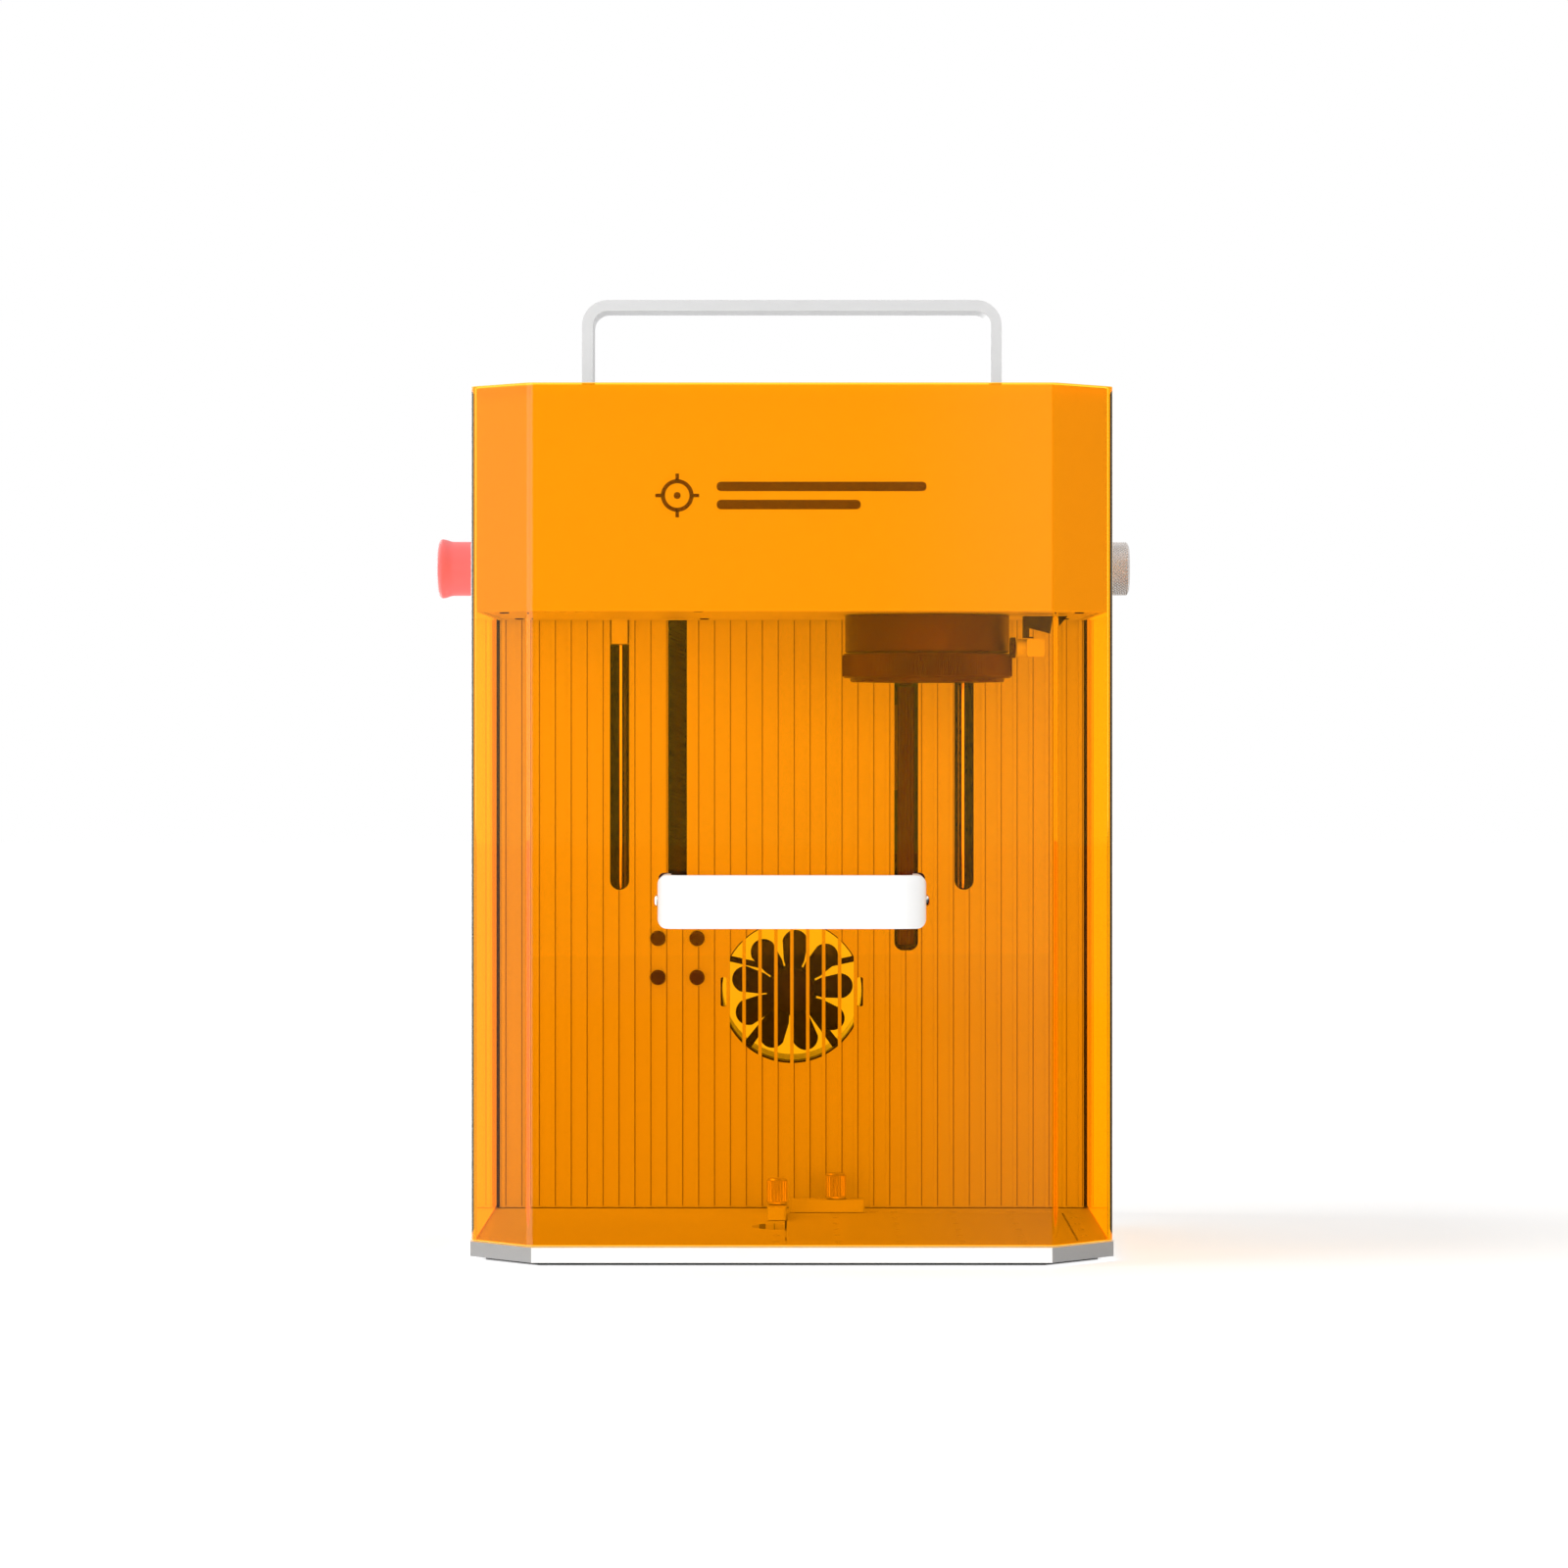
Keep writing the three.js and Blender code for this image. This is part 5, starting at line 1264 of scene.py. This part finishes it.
# %% [markdown]
# ## Lift
#
# Two ground rods guide the head and a lead screw moves it. The screw has four starts with a lead of 8 mm,
# as such lift screws do, so one turn moves the head by 8 mm. Rods and screw shine only where a slot lets
# light in.

# %% Rods, lead screw, brackets and motor
for side in ("left", "right"):
    low, high = millimetres(side + "_guide_rod")
    radius = (high[0] - low[0]) / 2
    profile = [(0, low[2]), (radius - 0.5, low[2]), (radius, low[2] + 0.5)]
    profile += [(radius, high[2] - 0.5), (radius - 0.5, high[2]), (0, high[2])]
    rod_place = (*middle_of(side + "_guide_rod")[:2], 0)
    ground_rod = lathe("ground_rod_" + side, profile, rod_place, steps=64)
    fit(smooth(ground_rod), STEEL, "steel", side + "_guide_rod")

screw_low, screw_high = millimetres("lead_screw")
screw_place = (*middle_of("lead_screw")[:2], 0)
SCREW_RADIUS, RIDGE = (screw_high[0] - screw_low[0]) / 2, 0.42
core = SCREW_RADIUS - 0.75
shank = [(0, screw_low[2]), (core, screw_low[2]), (core, screw_high[2] - 0.5)]
shank += [(core - 0.5, screw_high[2]), (0, screw_high[2])]
# Screw and thread are made near black: painted shade.
lead_screw = lathe("threaded_screw", shank, screw_place, steps=36)
thread = grow(
    "thread", THREAD, SHADED_STEEL, centre=screw_place, Radius=SCREW_RADIUS, Ridge=RIDGE,
    Bottom=screw_low[2] + 1, Length=screw_high[2] - screw_low[2] - 2,
)
fit(smooth(joined(lead_screw, thread), 40), SHADED_STEEL, "steel", "lead_screw")

for node in ("upper_bracket", "lower_bracket"):
    rounded_copy(node, 0.25, ALUMINIUM, "aluminium")

motor_low, motor_high = millimetres("lift_motor")
motor_foot, motor_neck = motor_low[2] + 5, motor_high[2] - 6


def motor_section(name, inset, bottom, top):
    left, right = motor_low[0] + inset, motor_high[0] - inset
    front, back = motor_low[1] + inset, motor_high[1] - inset
    return prism(name, PLAN, rounded_rectangle(left, right, front, back, 2.6, 3), bottom, top)


stack = motor_section("motor_stack", 0.4, motor_foot, motor_neck)
fit(soften(stack, 0.2), BLACK_METAL, "black_metal", "lift_motor")
ends = motor_section("motor_ends", 0, motor_low[2], motor_foot)
joined(ends, motor_section("motor_end", 0, motor_neck, motor_high[2]))
fit(soften(ends, 0.4), ALUMINIUM, "aluminium", body="frame")

PAN_HEIGHT, PIN_RADIUS = 1.4, 1.25
for number in range(1, 5):
    node = "wall_screw_" + str(number)
    low, high = millimetres(node)
    x, _, z = middle_of(node)
    spot = (x, low[1] + PAN_HEIGHT, z)
    head = screw_heads("pan_screw_" + str(number), BLACK_METAL, [spot], "front", 2.65, PAN_HEIGHT, 0.95)
    pin_length = high[1] - spot[1]
    pin_profile = [(0, 0), (PIN_RADIUS, 0), (PIN_RADIUS, pin_length), (0, pin_length)]
    pin = lathe("pin", pin_profile, spot, "+y", steps=20)
    fit(smooth(joined(head, pin), 30), BLACK_METAL, "black_metal", node)
print("lift:", len(lead_screw.data.polygons), "faces on the screw")

# %% [markdown]
# ## Fan
#
# A 50 mm fan draws the smoke out through the housing. Its nine blades are long oval petals, one made flat,
# pitched and then copied round the hub. Four thin struts behind it carry the motor.

# %% Fan frame, rotor and duct
STRUT_WIDTH, STRUT_DEPTH = 2.0, 1.6
BLADES, HUB_RADIUS, BLADE_PITCH, BLADE_REACH = 9, 7.9, 28.0, 21.3


def strut(x0, z0, x1, z1, wide=1.0):
    """A bar from the motor seat to the rim, that gets wider towards the rim."""
    along = Vector((x1 - x0, z1 - z0)).normalized()
    side = Vector((-along.y, along.x))
    half = STRUT_WIDTH / 2
    a, b = Vector((x0, z0)), Vector((x1, z1))
    corners = [a - side * half, b - side * half * wide, b + side * half * wide, a + side * half]
    outline = [(p.x, p.y + FAN_Z) for p in corners]
    return prism("strut", FRONT, outline, fan_high[1] - STRUT_DEPTH, fan_high[1])


fan_outline = rounded_rectangle(fan_low[0], fan_high[0], fan_low[2], fan_high[2], 4.0)
fan_holes = [circle(0, FAN_Z, 24.2, 72)]
fan_holes += [circle(x, FAN_Z + z, 1.7, 20) for x in (-20.6, 20.6) for z in (-20.6, 20.6)]
fan_body = prism("fan_housing", FRONT, fan_outline, fan_low[1], fan_high[1], fan_holes)
arms = [prism("motor_seat", FRONT, circle(0, FAN_Z, 8.8, 48), fan_high[1] - STRUT_DEPTH, fan_high[1])]
for side in (-1, 1):
    arms.append(strut(side * 4.6, 7.2, side * 22.6, 11.2))
    arms.append(strut(side * 5.2, -5.6, side * 15.6, -19.2, 1.5))
boolean(fan_body, arms, "UNION")
fit(soften(fan_body, 0.2), BLACK_PLASTIC, "black_plastic", "fan_frame")

rotor_low, rotor_high = millimetres("fan_rotor")
rotor_depth = rotor_high[1] - rotor_low[1]
petal = [(HUB_RADIUS - 2, -1.9), (10.5, -3.9)]
petal += arc(BLADE_REACH - 5.2, 0, 5.1, -75, 75, 14) + [(10.5, 3.9), (HUB_RADIUS - 2, 1.9)]
blade = prism("fan_wheel_blade", PLAN, petal, -0.45, 0.45)
soften(blade, 0.25, angle=50)
pitched = Matrix.Rotation(math.radians(BLADE_PITCH), 4, "X")
blade.data.transform(Matrix.Translation((0, 0, rotor_depth / 2 * MM)) @ pitched)
polar_copies(blade, BLADES, math.radians(34))
wheel = lathe(
    "fan_wheel",
    [(0, 0), (HUB_RADIUS - 0.6, 0), (HUB_RADIUS, 0.6), (HUB_RADIUS, rotor_depth), (0, rotor_depth)], steps=72,
)
boolean(wheel, [blade], "UNION")
wheel.data.transform(Matrix.Translation((0, rotor_low[1] * MM, FAN_Z * MM)) @ AXES["+y"].to_4x4())
fit(smooth(wheel), BLACK_PLASTIC, "black_plastic", "fan_rotor")

duct_low, duct_high = millimetres("fan_duct")
duct_length = duct_high[1] - duct_low[1]
duct_profile = [(24.6, 0.4), (25.0, 0), (25.4, 0), (25.8, 0.4), (25.8, duct_length - 0.4)]
duct_profile += [(25.4, duct_length), (25.0, duct_length), (24.6, duct_length - 0.4)]
duct = lathe("smoke_duct", duct_profile, (0, duct_low[1], FAN_Z), "+y", ring=True)
fit(smooth(duct), WHITE_PLASTIC, "white_plastic", "fan_duct")
print(BLADES, "blades,", len(wheel.data.polygons), "faces on the fan wheel")

# %% [markdown]
# ## Electronics
#
# The board hangs inside the back cover, where it shows only through the vents. It carries a processor
# under a finned cooler, a row of terminals and four capacitors, in plain sizes.

# %% Main board
board_low, board_high = millimetres("main_board")
board_front = board_high[1] - 1.6
board_outline = rounded_rectangle(board_low[0], board_high[0], board_low[2], board_high[2], 2.0)
inset_x, inset_z = (board_low[0] + 4, board_high[0] - 4), (board_low[2] + 4, board_high[2] - 4)
board_holes = [circle(x, z, 1.6, 24) for x in inset_x for z in inset_z]
board = prism("circuit_board", FRONT, board_outline, board_front, board_high[1], board_holes)
fit(smooth(board), CIRCUIT_BOARD, "circuit_board", "main_board")


def chip(name, left, right, bottom, top, height):
    outline = rounded_rectangle(left, right, bottom, top, 0.4, 2)
    return prism(name, FRONT, outline, board_front - height, board_front)


small_chips = ((-46, -36, 150, 160, 1.2), (-4, 4, 176, 184, 1.2), (24, 48, 120, 128, 8))
chips = joined(chip("board_chips", -20, 8, 140, 166, 1.5), *(chip("chip", *size) for size in small_chips))
fit(soften(chips, 0.15), BLACK_PLASTIC, "black_plastic", body="frame")
fins = grow(
    "board_cooler", ROW, ALUMINIUM, centre=(30, board_front - 3, 165), Count=9, Pitch=2.4, Size_X=0.9,
    Size_Y=6.0, Size_Z=30.0,
)
fins = joined(fins, chip("plate", 20, 40, 150, 180, 1.2))
fit(smooth(fins), ALUMINIUM, "aluminium", body="frame")
cans = []
for x in (-47, -42, -37, -32):
    can = [(0, 0), (2.1, 0), (2.1, 8.6), (1.7, 9), (0, 9)]
    cans.append(lathe("board_capacitors", can, (x, board_front, 129), "-y", steps=24))
fit(smooth(joined(*cans)), ALUMINIUM, "aluminium", body="frame")

for node, width, material, slot in (
    ("power_socket", 0.35, BLACK_PLASTIC, "black_plastic"),
    ("power_rocker", 0.4, BLACK_PLASTIC, "black_plastic"),
    ("usb_socket", 0.12, STEEL, "steel"),
    ("encoder_body", 0.3, ALUMINIUM, "aluminium"),
):
    rounded_copy(node, width, material, slot)
print("electronics done")

# %% [markdown]
# ## Emergency stop
#
# A mushroom button flares from a straight neck to a soft rim and a slightly domed face. It is turned as
# one profile. It pushes in and twists, so stem, button and body are separate.

# %% Emergency stop
button_low, button_high = millimetres("estop_button")
button_in, button_end = -button_high[0], -button_low[0]
RIM, NECK, BORE = 10.35, 9.45, 4.3
button_profile = [(0, button_in + 5), (BORE, button_in + 5), (BORE, button_in), (NECK - 0.5, button_in)]
button_profile += [(NECK, button_in + 0.5), (NECK, button_end - 6.3), (NECK + 0.04, button_end - 5.6)]
button_profile += [
    (NECK + 0.16, button_end - 5.0), (NECK + 0.36, button_end - 4.3), (RIM - 0.28, button_end - 3.6),
    (RIM - 0.1, button_end - 2.9), (RIM, button_end - 2.2), (RIM - 0.06, button_end - 1.7),
    (RIM - 0.36, button_end - 1.2), (RIM - 1.0, button_end - 0.82), (RIM - 2.4, button_end - 0.5),
    (RIM - 4.4, button_end - 0.25), (RIM - 7, button_end - 0.06), (0, button_end),
]
button = lathe("mushroom_button", button_profile, (0, SIDE_Y, SIDE_Z), "-x")
fit(smooth(button, 40), RED_PLASTIC, "red_plastic", "estop_button")

stem_low, stem_high = millimetres("estop_stem")
stem_profile = [(0, -stem_high[0]), (4.0, -stem_high[0]), (4.0, -stem_low[0]), (0, -stem_low[0])]
stem = lathe("button_stem", stem_profile, (0, SIDE_Y, SIDE_Z), "-x", steps=48)
fit(smooth(stem), BLACK_PLASTIC, "black_plastic", "estop_stem")

seat_in, seat_out = shell_high[0] + 0.3, -stop_low[0]
collar = [(BORE, 90.5), (BORE, seat_out), (11.1, seat_out), (11.5, seat_out - 0.4), (11.5, seat_in)]
collar += [(7.8, seat_in), (7.8, 90.5)]
stop_body = lathe("stop_switch", collar, (0, SIDE_Y, SIDE_Z), "-x", ring=True)
block_outline = rounded_rectangle(SIDE_Y - 9, SIDE_Y + 9, SIDE_Z - 9, SIDE_Z + 9, 1.0)
block = prism("block", SIDE, block_outline, stop_high[0], -92.0, [circle(SIDE_Y, SIDE_Z, BORE)])
boolean(block, [stop_body], "UNION")
block.name = "stop_switch"
fit(smooth(block), BLACK_PLASTIC, "black_plastic", "estop_body")
print("button reaches", round(button_end, 1), "mm from the middle")

# %% [markdown]
# ## Height knob
#
# Diamond knurling is two crossing sets of slanted grooves, which leave rows of small pyramids, each row
# half a step round from the last. The stud tree makes them: four-sided cones that lie outwards.

# %% Knurled knob
knob_low, knob_high = millimetres("height_knob")
KNURL_RADIUS, KNURL_COLUMNS, KNURL_ROWS = 8.98, 49, 17
knurl_start, knurl_end = 107.0, knob_high[0] - 0.8
knurl_pitch = (knurl_end - knurl_start) / KNURL_ROWS
knob_profile = [(0, knob_low[0]), (2.5, knob_low[0]), (2.5, 108.4), (5.1, 108.4), (5.1, 106.4), (8.9, 106.4)]
knob_profile += [(9.3, 106.8), (KNURL_RADIUS, 107.0), (KNURL_RADIUS, knurl_end), (9.2, knurl_end + 0.1)]
knob_profile += [(8.2, knob_high[0] - 0.1), (7.9, knob_high[0])]
knob_profile += [(7.5, knob_high[0] - 0.3), (0, knob_high[0] - 0.3)]
knob = lathe("knurled_knob", knob_profile, (0, SIDE_Y, SIDE_Z), "+x")
knurl = grow(
    "knurl", STUDS, KNURLED_METAL, centre=(0, SIDE_Y, SIDE_Z), axis="+x", Columns=KNURL_COLUMNS,
    Rows=KNURL_ROWS, Radius=KNURL_RADIUS - 0.03, Row_Pitch=knurl_pitch,
    Bottom=knurl_start + knurl_pitch / 2, Row_Shift=0.5, Tilt=math.pi / 2, Stud_Base=knurl_pitch,
    Stud_Tip=0.12, Stud_Length=0.4,
)
smooth(knob)
fit(joined(knob, knurl), KNURLED_METAL, "steel", "height_knob")
print(KNURL_COLUMNS * KNURL_ROWS, "pyramids on the knob")

# %% [markdown]
# ## Laser head
#
# The head is a white moulded shell that fills the door's plan. Under it hang the lens barrel and the
# fluted lens ring, which is turned by hand to focus, and a small line lamp. Inside are the laser, the two
# galvanometers and their mirrors, which show only in a cut, so they keep the packed shapes with rounded
# edges.

# %% Head shell, floor and carriages
shell = soften(merged_copy("head_shell", "head_shell_rounded"), 0.5, segments=3)
fit(shell, WHITE_PLASTIC, "white_plastic", "head_shell")
floor_low, floor_high = millimetres("head_floor")
rounded_copy("head_floor", 0.2, WHITE_PLASTIC, "white_plastic")
places = [(-93, -58), (-93, 32), (93, -58), (93, 32), (-30, 32), (88, 32), (-30, -82)]
spots = [(x, y, floor_low[2] + 0.5) for x, y in places]
floor_screws = screw_heads("floor_screws", BLACK_METAL, spots, "down", 1.7, 0.9, 0.8)
fit(smooth(floor_screws, 30), BLACK_METAL, "black_metal", body="head")
for node, width, material, slot in (
    ("left_carriage", 0.4, WHITE_PLASTIC, "white_plastic"),
    ("right_carriage", 0.4, WHITE_PLASTIC, "white_plastic"),
    ("lift_nut", 0.4, BRASS, "brass"),
    ("cable_clamp", 0.4, BLACK_PLASTIC, "black_plastic"),
    ("laser_module", 0.3, BLACK_METAL, "black_metal"),
    ("galvo_block", 0.4, BLACK_METAL, "black_metal"),
    ("galvo_motor_x", 0.3, BLACK_METAL, "black_metal"),
    ("galvo_motor_y", 0.3, BLACK_METAL, "black_metal"),
    ("galvo_mirror_x", 0.12, MIRROR, "mirror"),
    ("galvo_mirror_y", 0.12, MIRROR, "mirror"),
    ("pointer_bracket", 0.25, BLACK_PLASTIC, "black_plastic"),
    ("pointer_block", 0.25, WHITE_PLASTIC, "white_plastic"),
):
    rounded_copy(node, width, material, slot)
print("head shell", [round(v) for v in millimetres("head_shell")[1]])

# %% [markdown]
# ### Flat cable
#
# Five round cores lie side by side. Such a cable folds behind the wall as the head comes down.

# %% Flat cable
cable_low, cable_high = millimetres("head_cable")
CORES = 5
core_pitch = (cable_high[0] - cable_low[0]) / CORES
cable_y = (cable_low[1] + cable_high[1]) / 2
centres = [cable_low[0] + core_pitch * (i + 0.5) for i in range(CORES)]
front_side = [p for x in centres for p in arc(x, cable_y, core_pitch / 2, 200, 340, 8)]
back_side = [p for x in reversed(centres) for p in arc(x, cable_y, core_pitch / 2, 20, 160, 8)]
cable = prism("flat_cable", PLAN, front_side + back_side, cable_low[2], cable_high[2])
fit(smooth(cable, 50), CABLE_JACKET, "black_plastic", "head_cable")
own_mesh(cable)

# %% [markdown]
# ### Barrel, focusing ring and field lens
#
# All three are turned about the lens axis. The ring's grip is a few hundred fine upright flutes, made by
# the stud tree from four-sided bars that stand with a corner outwards.

# %% Barrel, ring and lens
barrel_low, barrel_high = millimetres("lens_barrel")
ring_low, ring_high = millimetres("lens_ring")
AXIS = (*middle_of("lens_barrel")[:2], 0)
BARREL_RADIUS, RING_RADIUS = (barrel_high[0] - barrel_low[0]) / 2, (ring_high[0] - ring_low[0]) / 2
BARREL_BORE, FLUTES = 22.8, 264
bottom, top = barrel_low[2], barrel_high[2]
tube = [(BARREL_BORE, bottom), (BARREL_RADIUS - 0.4, bottom), (BARREL_RADIUS, bottom + 0.4)]
tube += [(BARREL_RADIUS, top), (BARREL_BORE, top)]
barrel = lathe("objective_barrel", tube, AXIS, ring=True, steps=128)
fit(smooth(barrel), LENS_METAL, "black_metal", "lens_barrel")

bottom, top = ring_low[2], ring_high[2]
grip_base, lip, seat = RING_RADIUS - 0.3, RING_RADIUS - 2.65, bottom + 2.4
ring_profile = [(20.4, bottom), (20.0, bottom + 0.4), (20.0, seat), (22.4, seat), (22.4, top)]
ring_profile += [(grip_base - 0.4, top), (grip_base, top - 0.4), (grip_base, bottom + 1.8)]
ring_profile += [(grip_base - 0.4, bottom + 1.4)]
ring_profile += [(lip, bottom + 1.4), (lip, bottom + 0.5), (lip - 0.4, bottom)]
ring = lathe("focus_ring", ring_profile, AXIS, ring=True, steps=128)
flutes = grow(
    "flutes", STUDS, LENS_METAL, centre=AXIS, Columns=FLUTES, Radius=grip_base - 0.02, Bottom=bottom + 2.0,
    Stud_Base=0.32, Stud_Tip=0.32, Stud_Length=top - bottom - 2.6,
)
smooth(ring)
fit(joined(ring, flutes), LENS_METAL, "black_metal", "lens_ring")

glass_low, glass_high = millimetres("field_lens")
glass_radius, crown = (glass_high[0] - glass_low[0]) / 2, 2.4
glass = [(0, glass_low[2]), (glass_radius - 0.3, glass_low[2]), (glass_radius, glass_low[2] + 0.3)]
for i in range(13):
    share = i / 12
    glass.append((glass_radius * (1 - share), glass_high[2] - crown * (1 - share) ** 2))
fit(smooth(lathe("objective_glass", glass, AXIS)), LENS_GLASS, "lens_glass", "field_lens")

cap_low, cap_high = millimetres("pointer_cap")
cap_radius = (cap_high[2] - cap_low[2]) / 2
cap = [(0, cap_low[0]), (cap_radius - 0.3, cap_low[0]), (cap_radius, cap_low[0] + 0.3)]
cap += [(cap_radius, cap_high[0]), (0, cap_high[0])]
cap_place = (0, *middle_of("pointer_cap")[1:])
fit(smooth(lathe("lamp_cap", cap, cap_place, "+x", steps=48)), BLACK_METAL, "black_metal", "pointer_cap")
print(FLUTES, "flutes at a pitch of", round(2 * math.pi * RING_RADIUS / FLUTES, 2), "mm")

# %% [markdown]
# ### Printed mark
#
# The head's front carries a plain print: a focusing ring with cross hairs and two bars. It is a thin film,
# so it is made as a real layer a tenth of a millimetre thick.

# %% Printed mark
head_low, head_high = millimetres("head_shell")
FILM, MARK_X, MARK_Z = 0.12, -36.6, 246.0
ink_front, ink_back = head_low[1] - FILM, head_low[1] - 0.005


def printed(name, outline, holes=()):
    return prism(name, FRONT, outline, ink_front, ink_back, holes)


mark = printed("front_print", circle(MARK_X, MARK_Z, 5.2), [circle(MARK_X, MARK_Z, 3.9)])
layers = [printed("dot", circle(MARK_X, MARK_Z, 1.1, 32))]
for across, up in ((1, 0), (-1, 0), (0, 1), (0, -1)):
    way, half = Vector((across, up)), Vector((up, across)) * 0.55
    near, far = way * 4.4, way * 7.0
    corners = [(MARK_X + p.x, MARK_Z + p.y) for p in (near - half, far - half, far + half, near + half)]
    layers.append(printed("hair", corners))
for left, right, low, high in ((-24.0, 43.0, 247.4, 250.4), (-24.0, 22.0, 241.6, 244.6)):
    layers.append(printed("bar", rounded_rectangle(left, right, low, high, 1.4)))
fit(smooth(joined(mark, *layers)), PRINT_INK, "black_plastic", body="head")
print("print", round(FILM, 2), "mm thick")

# %% [markdown]
# ## Stop bars and thumbscrews
#
# Two moulded bars square up the work, and each is held in the hole field by a fluted thumbscrew.

# %% Stop bars and thumbscrews
for side in ("left", "back"):
    low, high = millimetres(side + "_fence")
    pin_low, pin_high = millimetres(side + "_thumbscrew")
    spot = (*middle_of(side + "_thumbscrew")[:2], 0)
    outline = rounded_rectangle(low[0], high[0], low[1], high[1], 1.2)
    bar = prism(side + "_stop_bar", PLAN, outline, low[2], high[2], [circle(spot[0], spot[1], 1.25, 32)])
    fit(soften(bar, 0.45, segments=3), WHITE_PLASTIC, "white_plastic", side + "_fence")
    base, tip, radius = high[2] + 0.2, pin_high[2], (pin_high[0] - pin_low[0]) / 2
    profile = [(0, pin_low[2]), (0.8, pin_low[2]), (1.0, pin_low[2] + 0.3), (1.0, base), (radius - 0.2, base)]
    profile += [(radius, base + 0.2), (radius, base + 0.9), (radius - 0.3, base + 1.1)]
    profile += [(radius - 0.3, tip - 0.7), (radius - 0.2, tip - 0.5), (radius - 0.6, tip), (0, tip)]
    thumb = lathe(side + "_fluted_thumbscrew", profile, spot, steps=48)
    grip_studs = grow(
        "studs", STUDS, ALUMINIUM, centre=spot, Columns=22, Radius=radius - 0.36, Bottom=base + 1.0,
        Stud_Base=0.34, Stud_Tip=0.34, Stud_Length=tip - base - 1.8,
    )
    smooth(thumb)
    fit(joined(thumb, grip_studs), ALUMINIUM, "aluminium", side + "_thumbscrew")
print("stop bars done")

# %% [markdown]
# ## Closing
#
# Each imported node now has a piece that stands for it, or keeps its own shape and gets a finish.

# %% Finish what is left
left_over = [name for name, node in frame["nodes"].items() if not node.hide_render]
for name in left_over:
    node = frame["nodes"][name]
    node.data.materials.clear()
    node.data.materials.append(WHITE_PLASTIC)
print("packed nodes left as they are:", left_over)
